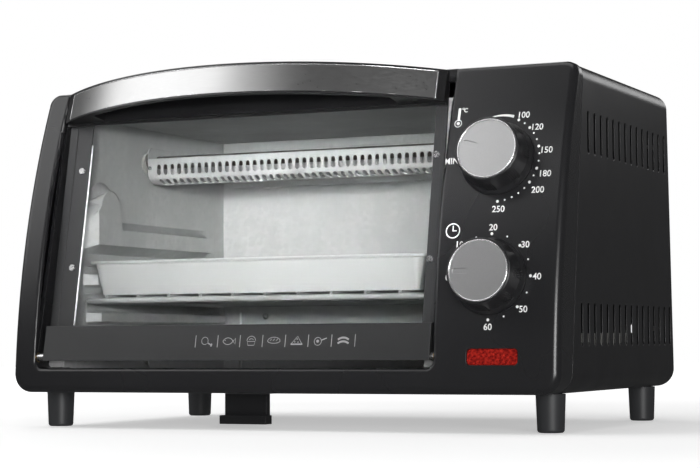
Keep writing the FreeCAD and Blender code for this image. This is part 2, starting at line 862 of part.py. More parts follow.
def make_guard(name, height, way):
    """A slotted trough over a heater; way is 1 where it opens upwards and -1 downwards."""
    body = new_body(name)

    def spot(y, z):
        return f"heater_y + {y}", f"{height} + {way} * ({z})"

    corners = []
    for side, inset in ((-1, "0"), (1, "sheet")):
        near, far = f"{side} * (guard_half - {inset})", f"{-side} * (guard_half - {inset})"
        near_flat, far_flat = f"{side} * guard_flat", f"{-side} * guard_flat"
        floor = f"{inset} - guard_floor"
        turn = (-side * way,)
        corners += [
            spot(near, "guard_lip"),
            spot(near, "-guard_hip"),
            spot(near_flat, floor) + spot(near_flat, "-guard_hip") + turn,
            spot(far_flat, floor),
            spot(far, "-guard_hip") + spot(far_flat, "-guard_hip") + turn,
            spot(far, "guard_lip"),
        ]
    trough = new_sketch(body, "YZ_Plane", "guard_left")
    outline(trough, corners)
    pad(body, trough, "cavity_right - 1.5 - guard_left")
    # An end plate that stands above the trough, with room for the heater's tube.
    plate = new_sketch(body, "YZ_Plane", "guard_left")
    bends = "guard_end_top - 4"
    outline(plate, [
        spot("-guard_half", "-guard_hip"),
        spot("-guard_flat", "-guard_floor") + spot("-guard_flat", "-guard_hip") + (way,),
        spot("guard_flat", "-guard_floor"),
        spot("guard_half", "-guard_hip") + spot("guard_flat", "-guard_hip") + (way,),
        spot("guard_half", bends),
        spot("guard_half - 4", "guard_end_top") + spot("guard_half - 4", bends) + (way,),
        spot("-guard_half + 4", "guard_end_top"),
        spot("-guard_half", bends) + spot("-guard_half + 4", bends) + (way,),
    ])
    pad(body, plate, "sheet")
    tube = new_sketch(body, "YZ_Plane", "guard_left - 1")
    circle(tube, "heater_y", height, "heater_radius + 1")
    pocket(body, tube, "3", back=True)
    left = "guard_left + 7"
    right = f"{left} + guard_slot"
    front = new_sketch(body, "XZ_Plane", "-heater_y + 25")
    middle = f"({height} - {way} * 5.9)"
    outline(front, pill(left, right, f"{middle} - 3.5", f"{middle} + 3.5"))
    cut = pocket(body, front, "60")
    repeat(body, cut, front, "H_Axis", "guard_pitch * 42", 43)
    for start in ("heater_y - 12.5", "heater_y + 4.5"):
        floor = new_sketch(body, "XY_Plane", f"{height} - {way} * 25")
        outline(floor, pill(left, right, start, f"{start} + 8"))
        cut = pocket(body, floor, "22", back=way > 0)
        repeat(body, cut, floor, "H_Axis", "guard_pitch * 42", 43)
    return place(body)


# Controls ---------------------------------------------------------------------------------------

def make_bracket():
    body = new_body("control_bracket")
    side = new_sketch(body, "YZ_Plane", "control_x - 27")
    low = "case_bottom + bezel_wall + 0.2"
    bend = "bracket_bend_z"
    top = "case_top - 10"
    outline(side, [
        (line_behind("timer", low), low),
        (line_behind("timer", low, "1.2"), low),
        (line_behind("timer", bend, "1.2"), bend),
        (line_behind("thermostat", top, "1.2"), top),
        (line_behind("thermostat", top), top),
        (line_behind("timer", bend), bend),
    ])
    pad(body, side, "60")
    holes = new_sketch(body, "XZ_Plane", "20")
    for height in ("thermostat_z - 3.4", "timer_z - 2.1"):
        circle(holes, "control_x", height, "5.6")
        circle(holes, "control_x - 12", height, "1.9")
        circle(holes, "control_x + 12", height, "1.9")
    pocket(body, holes, "100")
    lamp = new_sketch(body, "XZ_Plane", "20")
    outline(lamp, rounded("lamp_x - 18", "lamp_x + 15", "lamp_z - 8", "lamp_z + 8", "2"))
    pocket(body, lamp, "100")
    return place(body)


def control_spot(control):
    return "control_x", f"{control}_y", f"{control}_z", 90 - value(f"{control}_tilt")


def make_control(control, width, height, depth):
    """The switch behind a knob: a case with a threaded bush that the shaft runs in."""
    body = new_body(control + "_body")
    case = new_sketch(body, "XY_Plane", "-bracket_setback - 1.3")
    outline(case, rounded(f"-{width} / 2", f"{width} / 2", f"-{height} / 2", f"{height} / 2", "2"))
    pad(body, case, depth, back=True)
    bush = new_sketch(body, "XY_Plane", "-bracket_setback - 1.3")
    circle(bush, "0", "0", "5")
    pad(body, bush, "7")
    bore = new_sketch(body, "XY_Plane", "-bracket_setback + 8")
    circle(bore, "0", "0", "shaft_radius + 0.05")
    pocket(body, bore, "24.6")
    threads = new_sketch(body, "XY_Plane", "-bracket_setback - 1")
    circle(threads, "-12", "0", "1.45")
    circle(threads, "12", "0", "1.45")
    pocket(body, threads, "5")
    x, y, z, turn = control_spot(control)
    return place(body, x, y, z, turn)


def make_knob(control, angle):
    """Body, face disc, bright rim, pointer and shaft of a knob, about its own axis."""
    x, y, z, turn = control_spot(control)
    body = new_body(control + "_knob_body")
    section = new_sketch(body, "XZ_Plane")
    outline(section, [
        ("shaft_radius", "1"),
        ("shaft_radius + 2.6", "1"),
        ("shaft_radius + 2.6", "14"),
        ("17", "14"),
        ("19.4", "1.2"),
        ("knob_radius", "1.2"),
        ("knob_radius", "2.4"),
        ("knob_face_radius + 1.4", "5.6"),
        ("knob_face_radius", "knob_height - 0.3"),
        ("knob_face_radius - 0.5", "knob_height"),
        ("knob_face_radius - 0.9", "knob_height"),
        ("knob_face_radius - 0.9", "16"),
        ("shaft_radius", "16"),
    ])
    revolve(body, section)
    grooves = new_sketch(body, "XY_Plane", "4")
    for step in range(-2, 3):
        left = f"{step} * 1.25 - 0.3"
        right = f"{step} * 1.25 + 0.3"
        outline(grooves, [(left, "-24"), (right, "-24"), (right, "-19.2"), (left, "-19.2")])
    cut = pocket(body, grooves, "10.5", back=True)
    repeat_round(body, cut, grooves, 8)
    place(body, x, y, z, turn)
    disc = new_body(control + "_knob_disc")
    face = new_sketch(disc, "XY_Plane", "16.02")
    circle(face, "0", "0", "knob_face_radius - 2")
    pad(disc, face, "knob_height - 16.12")
    slot = new_sketch(disc, "XY_Plane", "knob_height + 1")
    reach = f"cos({angle})", f"sin({angle})"
    width = (f"-1.55 * {reach[1]}", f"1.55 * {reach[0]}")
    near = (f"7.6 * {reach[0]}", f"7.6 * {reach[1]}")
    far = (f"13.9 * {reach[0]}", f"13.9 * {reach[1]}")
    shape = [
        (f"{near[0]} + {width[0]}", f"{near[1]} + {width[1]}"),
        (f"{near[0]} - ({width[0]})", f"{near[1]} - ({width[1]})", near[0], near[1], 1),
        (f"{far[0]} - ({width[0]})", f"{far[1]} - ({width[1]})"),
        (f"{far[0]} + {width[0]}", f"{far[1]} + {width[1]}", far[0], far[1], 1),
    ]
    outline(slot, shape)
    pocket(disc, slot, "2.5")
    place(disc, x, y, z, turn)
    pointer = new_body(control + "_knob_pointer")
    bar = new_sketch(pointer, "XY_Plane", "knob_height - 1.48")
    outline(bar, shape)
    pad(pointer, bar, "0.8")
    place(pointer, x, y, z, turn)
    rim = new_body(control + "_knob_rim")
    ring = new_sketch(rim, "XZ_Plane")
    outline(ring, [
        ("knob_face_radius - 1.98", "16.02"),
        ("knob_face_radius - 1.2", "16.02"),
        ("knob_face_radius - 1.2", "knob_height + 0.1"),
        ("knob_face_radius - 1.98", "knob_height + 0.1", "knob_face_radius - 1.59",
         "knob_height + 0.1", 1),
    ])
    revolve(rim, ring)
    place(rim, x, y, z, turn)
    shaft = cylinder("shaft_radius - 0.01", "44", ("0", "0", "-29"))
    keep(shaft, control + "_shaft")
    place(shaft, x, y, z, turn)
    shaft.Placement = shaft.Placement.multiply(FreeCAD.Placement(V(0, 0, -29), FreeCAD.Rotation()))


def make_control_screws():
    screws = []
    for control in ("thermostat", "timer"):
        x, y, z, turn = control_spot(control)
        frame = place(doc.addObject("App::Placement", "axis"), x, y, z, turn).Placement
        for side in (-1, 1):
            head = cylinder("2.6", "1.6", (f"{side} * 12", "0", "-bracket_setback + 0.02"))
            shank = cylinder("1.4", "6", (f"{side} * 12", "0", "-bracket_setback - 5"))
            screw = fuse([head, shank])
            screw.Placement = frame
            screws.append(screw)
    doc.recompute()
    group("control_screws", screws)


def make_timer_bell():
    body = new_body("timer_bell")
    section = new_sketch(body, "XZ_Plane")
    outline(section, [
        ("1.5", "0"), ("1.5", "-5"), ("14", "-5"), ("15", "0"), ("16", "0"), ("14.8", "-6"), ("0", "-6"),
        ("0", "0"),
    ])
    revolve(body, section)
    x, y, z, turn = control_spot("timer")
    place(body, x, y, z, turn)
    shift = FreeCAD.Placement(V(0, 0, value("-bracket_setback - 1.3 - 28.02")), FreeCAD.Rotation())
    body.Placement = body.Placement.multiply(shift)


def lamp_place(item):
    tilt = math.degrees(math.asin((value("lamp_z") - value("curve_z")) / value("curve_radius")))
    return place(item, "lamp_x", front_at("lamp_z"), "lamp_z", 90 - tilt)


def make_lamp():
    """Indicator: a red lens clipped into the bezel, its holder and a neon tube."""
    lens = new_body("lamp_lens")
    half_x = "lamp_width / 2"
    half_z = "lamp_height / 2"
    front = new_sketch(lens, "XY_Plane", "-0.4")
    outline(front, rounded(f"-{half_x}", half_x, f"-{half_z}", half_z, "lamp_corner"))
    pad(lens, front, "3.4", back=True)
    flange = new_sketch(lens, "XY_Plane", "-2.8")
    reach, rise = f"({half_x} + 1.8)", f"({half_z} + 1.6)"
    outline(flange, rounded(f"-{reach}", reach, f"-{rise}", rise, "1"))
    pad(lens, flange, "1", back=True)
    lamp_place(lens)
    holder = new_body("lamp_frame")
    box = new_sketch(holder, "XY_Plane", "-3.85")
    outline(box, rounded(f"-{half_x} - 1", f"{half_x} - 1", f"-{half_z} - 2", f"{half_z} + 2", "1"))
    pad(holder, box, "9", back=True)
    room = new_sketch(holder, "XY_Plane", "-3.85")
    outline(room, rounded(f"-{half_x} + 1", f"{half_x} - 3", f"-{half_z}", f"{half_z}", "1"))
    pocket(holder, room, "7.5")
    lamp_place(holder)
    neon = cylinder("2.6", "18", ("-10", "0", "-8"), (1, 0, 0))
    keep(neon, "neon_lamp")
    local = neon.Placement
    lamp_place(neon)
    neon.Placement = neon.Placement.multiply(local)


# Wiring -----------------------------------------------------------------------------------------

def route(points, radius):
    """A wire along straight runs joined by tangent arcs of the given bend radius."""
    edges = []
    last = points[0]
    for before, corner, after in zip(points, points[1:], points[2:]):
        back = (before - corner).normalize()
        ahead = (after - corner).normalize()
        half = back.getAngle(ahead) / 2
        cut = radius / math.tan(half)
        start = corner + back * cut
        stop = corner + ahead * cut
        bisector = (back + ahead).normalize()
        middle = corner + bisector * (radius / math.sin(half) - radius)
        edges.append(Part.LineSegment(last, start).toShape())
        edges.append(Part.Arc(start, middle, stop).toShape())
        last = stop
    edges.append(Part.LineSegment(last, points[-1]).toShape())
    return Part.Wire(edges)


def make_wiring():
    """Three leads in the control space, from the terminal block to the controls and the lamp."""
    routes = (
        ((122, 196, 50), (122, 150, 50), (122, 110, 120), (122, 70, 140)),
        ((137, 196, 50), (137, 140, 50), (137, 110, 78), (137, 70, 80)),
        ((150, 196, 50), (150, 120, 36), (150, 60, 36)),
    )
    leads = []
    for points in routes:
        path = route([V(*point) for point in points], 18)
        start = points[0]
        ring = Part.Wire(Part.Circle(V(*start), V(*points[1]) - V(*start), 1.3).toShape())
        leads.append(path.makePipeShell([ring], True, False))
    item = doc.addObject("Part::Feature", "wiring")
    item.Shape = Part.makeCompound(leads)
    place(keep(item, "wiring"))


def make_terminal_block():
    block = doc.addObject("Part::Box", "block")
    block.Length = 44
    block.Width = 16
    block.Height = 14
    doc.recompute()
    keep(block, "terminal_block")
    place(block, "114", "196.2", "43")


# Door -------------------------------------------------------------------------------------------

def door_place(item):
    return place(item, "door_x", "door_y", "door_z", -value("door_tilt"))


def make_glass():
    body = new_body("door_glass")
    pane = new_sketch(body, "XZ_Plane", "-glass_setback")
    outline(pane, rounded("-128.4", "129.2", "-5", "154", "4"))
    pad(body, pane, "glass_thickness", back=True)
    holes = new_sketch(body, "XZ_Plane", "10")
    for way in ("-", ""):
        circle(holes, f"{way}screw_x", "screw_height", "2.6")
    pocket(body, holes, "30")
    return door_place(body)


def make_door_rail(name, left, right, rivet):
    """A pressed side strip in front of the glass, with a raised crease."""
    body = new_body(name)
    strip = new_sketch(body, "XZ_Plane", "-glass_setback + 0.02")
    outline(strip, [(left, "2"), (right, "2"), (right, "156"), (left, "156")])
    pad(body, strip, "1.2")
    crease = new_sketch(body, "XZ_Plane", "-glass_setback + 1.2")
    if rivet < 0:
        ends = left, f"{left} + 5.5"
    else:
        ends = f"{right} - 2.6", right
    outline(crease, [(ends[0], "2"), (ends[1], "2"), (ends[1], "156"), (ends[0], "156")])
    pad(body, crease, "0.4")
    holes = new_sketch(body, "XZ_Plane", "10")
    for height in RIVET_HEIGHTS:
        circle(holes, repr(rivet), height, "1.3")
    pocket(body, holes, "30")
    return door_place(body)


RIVET_HEIGHTS = ("49", "112")
LEFT_RIVET = -118.4
RIGHT_RIVET = 125.5


def make_rivets():
    rivets = []
    for x in (LEFT_RIVET, RIGHT_RIVET):
        for height in RIVET_HEIGHTS:
            head = cylinder("2", "1", (repr(x), "-0.64", height), (0, 1, 0))
            shank = cylinder("1.19", "2", (repr(x), "-0.5", height), (0, 1, 0))
            rivets.append(fuse([head, shank]))
    door_place(group("rail_rivets", rivets))


def make_door_plate():
    """The dark plate across the door's foot, hollow behind and closed at its ends."""
    body = new_body("door_bottom_plate")
    side = new_sketch(body, "YZ_Plane", "-127.9")
    outline(side, [("0", "41.7"), ("8.6", "41.7"), ("11.2", "63.2"), ("4.6", "63.2")])
    pad(body, side, "259.9")
    hollow = new_sketch(body, "YZ_Plane", "-126.4")
    outline(hollow, [("1.9", "43.2"), ("12", "43.2"), ("14", "61.7"), ("5.9", "61.7")])
    pocket(body, hollow, "256.9", back=True)
    holes = new_sketch(body, "YZ_Plane")
    circle(holes, "pivot_y", "pivot_z", "pin_radius")
    pocket(body, holes, "300", middle=True)
    return place(body, "door_x")


def make_hinge_pins():
    """Two stepped pins on the hinge axis: start and length of each shank and of its collar."""
    pins = []
    for shank, collar in (
        (("opening_left - 2.3", "11"), ("opening_left + 0.3", "5.5")),
        (("opening_right - 4.7", "7"), ("opening_right - 1.75", "1.4")),
    ):
        thin = cylinder("pin_radius", shank[1], (shank[0], "pivot_y", "pivot_z"), (1, 0, 0))
        thick = cylinder("pin_collar", collar[1], (collar[0], "pivot_y", "pivot_z"), (1, 0, 0))
        pins.append(fuse([thin, thick]))
    place(group("hinge_pins", pins))


def make_hinge_bushes():
    """Bearings of the hinge pins in the walls of the door opening."""
    bushes = []
    for start in ("opening_left - bezel_wall", "opening_right"):
        cut = doc.addObject("Part::Cut", "bush")
        cut.Base = cylinder("pin_radius + 1.6", "bezel_wall", (start, "pivot_y", "pivot_z"), (1, 0, 0))
        cut.Tool = cylinder("pin_radius + 0.05", "10", (f"{start} - 3", "pivot_y", "pivot_z"), (1, 0, 0))
        doc.recompute()
        bushes.append(cut)
    place(group("hinge_bushes", bushes))


def make_inner_bracket():
    """Folded strip behind the glass that clamps its lower edge."""
    body = new_body("door_inner_bracket")
    side = new_sketch(body, "YZ_Plane", "-126")
    front = "glass_setback + glass_thickness + 0.02"
    outline(side, [
        (f"{front} - 5", "-7"), (f"{front} + 1", "-7"), (f"{front} + 1", "10"), (front, "10"),
        (front, "-6"), (f"{front} - 5", "-6"),
    ])
    pad(body, side, "253")
    return door_place(body)


HANDLE_RADIUS = "((handle_half ^ 2 + handle_bow ^ 2) / (2 * handle_bow))"
HANDLE_CENTRE = f"({HANDLE_RADIUS} - handle_bow)"


def handle_band(body, lift, inside, outside, short):
    """A curved band along the handle's bow, on its lifted plane, for the steel strip and its seat."""
    sketch = new_sketch(body, "XY_Plane", lift, "-handle_lift")
    shift = f"{lift} * (cos(handle_lift) * tan(handle_tilt - handle_lift) + sin(handle_lift))"
    centre = f"({HANDLE_CENTRE} + {shift})"
    edge = f"(handle_half - {short})"
    near = f"({centre} - sqrt(({HANDLE_RADIUS} - {outside}) ^ 2 - {edge} ^ 2))"
    deep = f"({centre} - sqrt(({HANDLE_RADIUS} - {inside}) ^ 2 - {edge} ^ 2))"
    outline(sketch, [
        (f"-{edge}", near),
        (edge, near, "0", centre, 1),
        (edge, deep),
        (f"-{edge}", deep, "0", centre, -1),
    ])
    return sketch


def lean(feature, way=1):
    """Make a pad run up along the handle's leaning face, or with way -1 a reversed pocket."""
    angle = math.radians(value("handle_tilt"))
    feature.UseCustomVector = True
    feature.AlongSketchNormal = False
    feature.Direction = V(0, way * math.sin(angle), way * math.cos(angle))
    doc.recompute()


def make_handle_strip():
    body = new_body("handle_strip")
    band = handle_band(body, "1.4", "1.38", "0.4", "1.3")
    lean(pad(body, band, "handle_height - 2.8"))
    return place(body, "door_x", "handle_y", "handle_z")


def make_handle_screws():
    screws = []
    for way in ("-", ""):
        head = cylinder("3.2", "1.8", (f"{way}screw_x", "glass_setback + glass_thickness + 0.02",
                                       "screw_height"), (0, 1, 0))
        shank = cylinder("1.48", "15", (f"{way}screw_x", "-8", "screw_height"), (0, 1, 0))
        screws.append(fuse([head, shank]))
    door_place(group("handle_screws", screws))


def make_handle():
    body = new_body("handle_body")
    radius = HANDLE_RADIUS
    centre = HANDLE_CENTRE
    end = "(handle_half + handle_end)"
    front = f"({centre} - sqrt({radius} ^ 2 - {end} ^ 2))"
    tilt = "-handle_lift"
    base = new_sketch(body, "XY_Plane", "0", tilt)
    outline(base, [
        (f"-{end}", front),
        (end, front, "0", centre, 1),
        (end, "handle_back"),
        (f"-{end}", "handle_back"),
    ])
    block = pad(body, base, "handle_height")
    lean(block)
    # The finger recess: a crescent open from below, under a closed top.
    inner = f"({radius} - 3.2)"
    side = "(handle_half - 26)"
    deep = f"({centre} - sqrt({inner} ^ 2 - {side} ^ 2))"
    recess = new_sketch(body, "XY_Plane", "-3", tilt)
    outline(recess, [
        (f"-{side}", deep),
        (side, deep, "0", centre, 1),
        (side, "2.2"),
        (f"-{side}", "2.2"),
    ])
    cut = pocket(body, recess, "handle_height", back=True)
    lean(cut, -1)
    # A foot that fits the slope of the door behind the moulding.
    foot = new_sketch(body, "YZ_Plane", f"-{end}")
    outline(foot, [
        ("handle_back - 1", "-2.4"),
        ("7.9", "-2.4"),
        ("10.6", "12"),
        ("handle_back + 2", "12"),
    ])
    pad(body, foot, f"2 * {end}")
    slot = handle_band(body, "1.3", "1.4", "-3", "1.2")
    groove = pocket(body, slot, "handle_height - 2.6", back=True)
    lean(groove, -1)
    screws = new_sketch(body, "XZ_Plane", "-11", "-door_tilt")
    hole_height = ("screw_height - (handle_z - door_z) * cos(door_tilt)"
                   " - (handle_y - door_y + 11) * sin(door_tilt)")
    for way in ("-", ""):
        circle(screws, f"{way}screw_x", hole_height, "1.5")
    pocket(body, screws, "15", back=True)
    return place(body, "door_x", "handle_y", "handle_z")


# Shelves ----------------------------------------------------------------------------------------

def make_rack():
    """A frame of thick wire with thinner wires welded across its top."""
    body = new_body("wire_rack")
    spine = new_sketch(body, "XY_Plane", "rack_z")
    outline(spine, rounded("cavity_left + 3.5", "cavity_right - 3.5",
                           "rack_front_y", "rack_back_y", "9"))
    ring = new_sketch(body, "XZ_Plane", "-(rack_front_y + rack_back_y) / 2")
    circle(ring, "cavity_left + 3.5", "rack_z", "rack_wire")
    frame = body.newObject("PartDesign::AdditivePipe", "frame")
    frame.Profile = ring
    frame.Spine = spine
    doc.recompute()
    cross = new_sketch(body, "XZ_Plane", "-rack_front_y + 1")
    circle(cross, "door_x + 0.1 - 4.5 * 22.4", "rack_z + rack_wire + 0.8", "1.1")
    wire = pad(body, cross, "rack_back_y - rack_front_y + 2", back=True)
    repeat(body, wire, cross, "H_Axis", "22.4 * 9", 10)
    return place(body)


def make_bake_tray():
    body = new_body("bake_tray")
    middle = "door_x + 0.1"
    floor = new_sketch(body, "XY_Plane", "tray_bottom")
    outline(floor, rounded(f"{middle} - tray_half + 8", f"{middle} + tray_half - 8",
                           "tray_front_y + 8", "tray_back_y - 8", "1.5"))
    wall = pad(body, floor, "tray_rim - tray_bottom")
    wall.TaperAngle = 13
    doc.recompute()
    rim = new_sketch(body, "XY_Plane", "tray_rim")
    outline(rim, rounded(f"{middle} - tray_half", f"{middle} + tray_half",
                         "tray_front_y", "tray_back_y", "9.5"))
    pad(body, rim, "1.8", back=True)
    room = new_sketch(body, "XY_Plane", "tray_rim")
    outline(room, rounded(f"{middle} - tray_half + 4.2", f"{middle} + tray_half - 4.2",
                          "tray_front_y + 4.2", "tray_back_y - 4.2", "5.3"))
    hollow = pocket(body, room, "tray_rim - tray_bottom - tray_sheet")
    hollow.TaperAngle = -13
    doc.recompute()
    top = value("tray_rim")
    reach = value(f"{middle} + tray_half")

    def outer_rim(edge):
        box = edge.BoundBox
        flat = abs(box.ZMin - box.ZMax) < 0.01 and box.ZMin > top - 2
        return flat and (box.XMax > reach - 3.9 or box.XMin < 2 * value(middle) - reach + 3.9
                         or box.YMin < value("tray_front_y") + 1 or box.YMax > value("tray_back_y") - 1)

    fillet(body, "0.8", outer_rim)
    return place(body)


def make_crumb_tray():
    body = new_body("crumb_tray")
    pan = new_sketch(body, "XY_Plane", "crumb_z")
    outline(pan, [
        ("door_x - tab_half", "tab_y"),
        ("door_x + tab_half", "tab_y"),
        ("door_x + tab_half", "crumb_front_y"),
        ("door_x + crumb_half", "crumb_front_y"),
        ("door_x + crumb_half", "crumb_back_y"),
        ("door_x - crumb_half", "crumb_back_y"),
        ("door_x - crumb_half", "crumb_front_y"),
        ("door_x - tab_half", "crumb_front_y"),
    ])
    pad(body, pan, "crumb_sheet")
    return place(body)


def make_tab():
    """The finger tab that hangs from the crumb tray's neck."""
    body = new_body("crumb_tray_tab")
    web = new_sketch(body, "YZ_Plane", "-tab_half")
    outline(web, [("0", "8"), ("5", "8"), ("5", "crumb_z - 0.02"), ("0", "crumb_z - 0.02")])
    pad(body, web, "2 * tab_half")
    lip = new_sketch(body, "YZ_Plane", "-tab_half - 1.5")
    outline(lip, [("-4.4", "2.9"), ("4.2", "2.9"), ("4.2", "8.2"), ("-4.4", "8.2")])
    pad(body, lip, "2 * tab_half + 3")
    groove = new_sketch(body, "YZ_Plane", "-tab_half")
    outline(groove, [("-3.2", "7"), ("-0.8", "7"), ("-0.8", "9"), ("-3.2", "9")])
    pocket(body, groove, "2 * tab_half", back=True)
    return place(body, "door_x", "tab_y")


make_bezel()
make_shell()
make_bottom_plate()
make_rear_panel()
make_shell_holes()
make_rear_screws()
make_gland()
make_feet()
make_side_wall("cavity_left_wall", "cavity_left", -1)
make_side_wall("cavity_right_wall", "cavity_right", 1)
make_ceiling()
make_rear_wall()
make_crumb_rails()
make_heater("upper_heater", "upper_heater_z")
make_heater("lower_heater", "lower_heater_z")
make_insulators()
make_guard("upper_heater_guard", "upper_heater_z", 1)
make_guard("lower_heater_guard", "lower_heater_z", -1)
make_bracket()
make_control("thermostat", "34", "40", "22")
make_control("timer", "42", "42", "28")
make_knob("thermostat", "163")
make_knob("timer", "180")
make_control_screws()
make_timer_bell()
make_lamp()
make_wiring()
make_terminal_block()
make_glass()
make_door_rail("door_left_rail", "-130", "-113.7", LEFT_RIVET)
make_door_rail("door_right_rail", "123.2", "130.5", RIGHT_RIVET)
make_rivets()
make_door_plate()
make_hinge_pins()
make_hinge_bushes()
make_inner_bracket()
make_handle()
make_handle_strip()
make_handle_screws()
make_rack()
make_bake_tray()
make_crumb_tray()
make_tab()


# Write the sub-parts ----------------------------------------------------------------------------

doc.recompute()
for item in doc.Objects:
    states = item.State
    if "Invalid" in states or "Error" in states:
        raise RuntimeError(f"{item.Name} ({item.Label}) did not compute: {states}")
for item in NODES:
    if item.Shape.isNull() or not item.Shape.isValid():
        raise RuntimeError(f"{item.Label} has no valid shape")
os.makedirs("parts", exist_ok=True)
for item in NODES:
    item.Shape.exportStep(os.path.join("parts", item.Label + ".step"))
    box = item.Shape.BoundBox
    print(item.Label, round(item.Shape.Volume), len(item.Shape.Solids), box)
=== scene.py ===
import json
import math
import bpy
from mathutils import Matrix, Vector
from mathutils.bvhtree import BVHTree


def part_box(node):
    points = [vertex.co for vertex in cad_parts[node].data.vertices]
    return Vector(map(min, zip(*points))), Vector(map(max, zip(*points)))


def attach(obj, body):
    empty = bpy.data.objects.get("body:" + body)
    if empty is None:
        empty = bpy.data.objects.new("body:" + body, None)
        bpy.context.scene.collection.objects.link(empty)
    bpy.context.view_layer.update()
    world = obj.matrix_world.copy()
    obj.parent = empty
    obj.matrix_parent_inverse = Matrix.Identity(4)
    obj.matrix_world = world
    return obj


# A countertop toaster oven. Metres, +X to the right seen from the front, +Y to the back, +Z up.

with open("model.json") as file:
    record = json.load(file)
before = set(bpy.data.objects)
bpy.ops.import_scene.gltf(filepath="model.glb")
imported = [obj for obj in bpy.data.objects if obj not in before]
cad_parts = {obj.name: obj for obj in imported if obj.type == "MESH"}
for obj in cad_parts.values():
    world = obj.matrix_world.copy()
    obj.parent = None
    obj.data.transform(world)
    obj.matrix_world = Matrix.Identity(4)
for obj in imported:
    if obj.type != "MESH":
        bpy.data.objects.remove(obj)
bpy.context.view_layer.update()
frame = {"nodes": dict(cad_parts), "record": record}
NODES = frame["nodes"]
JOINTS = {joint["name"]: joint for joint in frame["record"]["behaviour"]["joints"]}
MM = 0.001


# Materials --------------------------------------------------------------------------------------

class Look:
    """A Principled material whose colour, roughness and relief vary in object space."""

    def __init__(self, name, color, rough, metal=0.0):
        self.material = bpy.data.materials.new(name)
        self.material.use_nodes = True
        self.tree = self.material.node_tree
        self.shader = self.tree.nodes["Principled BSDF"]
        self.color = color
        self.rough = rough
        self.normal = None
        self.set(self.shader, Metallic=metal, Roughness=rough)
        self.shader.inputs["Base Color"].default_value = (*color, 1)
        self.where = self.add("ShaderNodeTexCoord").outputs["Object"]

    def set(self, node, **values):
        """Constants of sockets; an underscore stands for the space in a socket's name."""
        for key, value in values.items():
            node.inputs[key.replace("_", " ")].default_value = value

    def add(self, kind, **values):
        node = self.tree.nodes.new(kind)
        for key, value in values.items():
            setattr(node, key, value)
        return node

    def link(self, source, target):
        self.tree.links.new(source, target)

    def spot(self, stretch=(1, 1, 1)):
        """Object coordinates, scaled so that a pattern is long where the factor is small."""
        mapping = self.add("ShaderNodeMapping")
        mapping.inputs["Scale"].default_value = stretch
        self.link(self.where, mapping.inputs["Vector"])
        return mapping.outputs[0]

    def noise(self, size, stretch=(1, 1, 1), detail=3.0, harsh=0.55):
        """Noise whose features are about this size in metres."""
        node = self.add("ShaderNodeTexNoise")
        self.set(node, Scale=1 / size, Detail=detail, Roughness=harsh)
        self.link(self.spot(stretch), node.inputs["Vector"])
        return node.outputs["Fac"]

    def cells(self, size):
        """A tone per crystal, as on zinc or aluminised sheet."""
        node = self.add("ShaderNodeTexVoronoi")
        self.set(node, Scale=1 / size)
        self.link(self.spot(), node.inputs["Vector"])
        return node.outputs["Color"]

    def span(self, source, low, high, out_low=0.0, out_high=1.0):
        """A value moved from one range to another, and held inside it."""
        node = self.add("ShaderNodeMapRange")
        self.set(node, From_Min=low, From_Max=high, To_Min=out_low, To_Max=out_high)
        self.link(source, node.inputs["Value"])
        return node.outputs[0]

    def math(self, operation, first, second):
        """A sum or product of two values, each a number or a socket."""
        node = self.add("ShaderNodeMath", operation=operation)
        for value, target in ((first, node.inputs[0]), (second, node.inputs[1])):
            if isinstance(value, (int, float)):
                target.default_value = value
            else:
                self.link(value, target)
        return node.outputs[0]

    def mix(self, factor, first, second):
        """A colour between two, each a colour or a socket."""
        node = self.add("ShaderNodeMix", data_type="RGBA")
        self.link(factor, node.inputs["Factor"])
        colors = [socket for socket in node.inputs if socket.type == "RGBA"]
        for value, target in zip((first, second), colors):
            if isinstance(value, tuple):
                target.default_value = (*value, 1)
            else:
                self.link(value, target)
        return [socket for socket in node.outputs if socket.type == "RGBA"][0]

    def tint(self, factor, low=0.8, high=1.2):
        """Colour that varies about the material's own."""
        dark = tuple(part * low for part in self.color)
        light = tuple(min(1, part * high) for part in self.color)
        self.paint(self.mix(factor, dark, light))

    def paint(self, socket):
        """Take the base colour from a socket."""
        self.painted = socket
        self.link(socket, self.shader.inputs["Base Color"])

    def gloss(self, factor, spread):
        """Roughness that varies about the material's own."""
        smoothest = max(0.02, self.rough - spread)
        made = self.span(factor, 0.25, 0.75, smoothest, self.rough + spread)
        self.link(made, self.shader.inputs["Roughness"])

    def relief(self, factor, depth, strength=1.0):
        """Bump whose full height is depth in metres, added to any before it."""
        node = self.add("ShaderNodeBump")
        self.set(node, Strength=strength, Distance=depth)
        self.link(factor, node.inputs["Height"])
        if self.normal is not None:
            self.link(self.normal, node.inputs["Normal"])
        self.normal = node.outputs[0]
        self.link(self.normal, self.shader.inputs["Normal"])

    def soften(self, radius):
        """Edges that catch light as if rounded to this radius. Comes before any relief."""
        self.normal = self.bevelled(radius)
        self.link(self.normal, self.shader.inputs["Normal"])

    def bevelled(self, radius):
        """The normal that edges rounded to this radius would have."""
        node = self.add("ShaderNodeBevel", samples=4)
        self.set(node, Radius=radius)
        return node.outputs[0]

    def paint_edge_highlight(self, radius, color, reach=0.35):
        """Painted highlight: the colour is paler along edges, in patches. Comes after the colour is
        painted.
        """
        flat = self.add("ShaderNodeNewGeometry").outputs["Normal"]
        dot = self.add("ShaderNodeVectorMath", operation="DOT_PRODUCT")
        self.link(self.bevelled(radius), dot.inputs[0])
        self.link(flat, dot.inputs[1])
        edge = self.span(dot.outputs["Value"], 0.995, 0.8, 0, reach)
        highlight_patches = self.math("MULTIPLY", edge, self.noise(0.012))
        self.paint(self.mix(highlight_patches, self.painted, color))


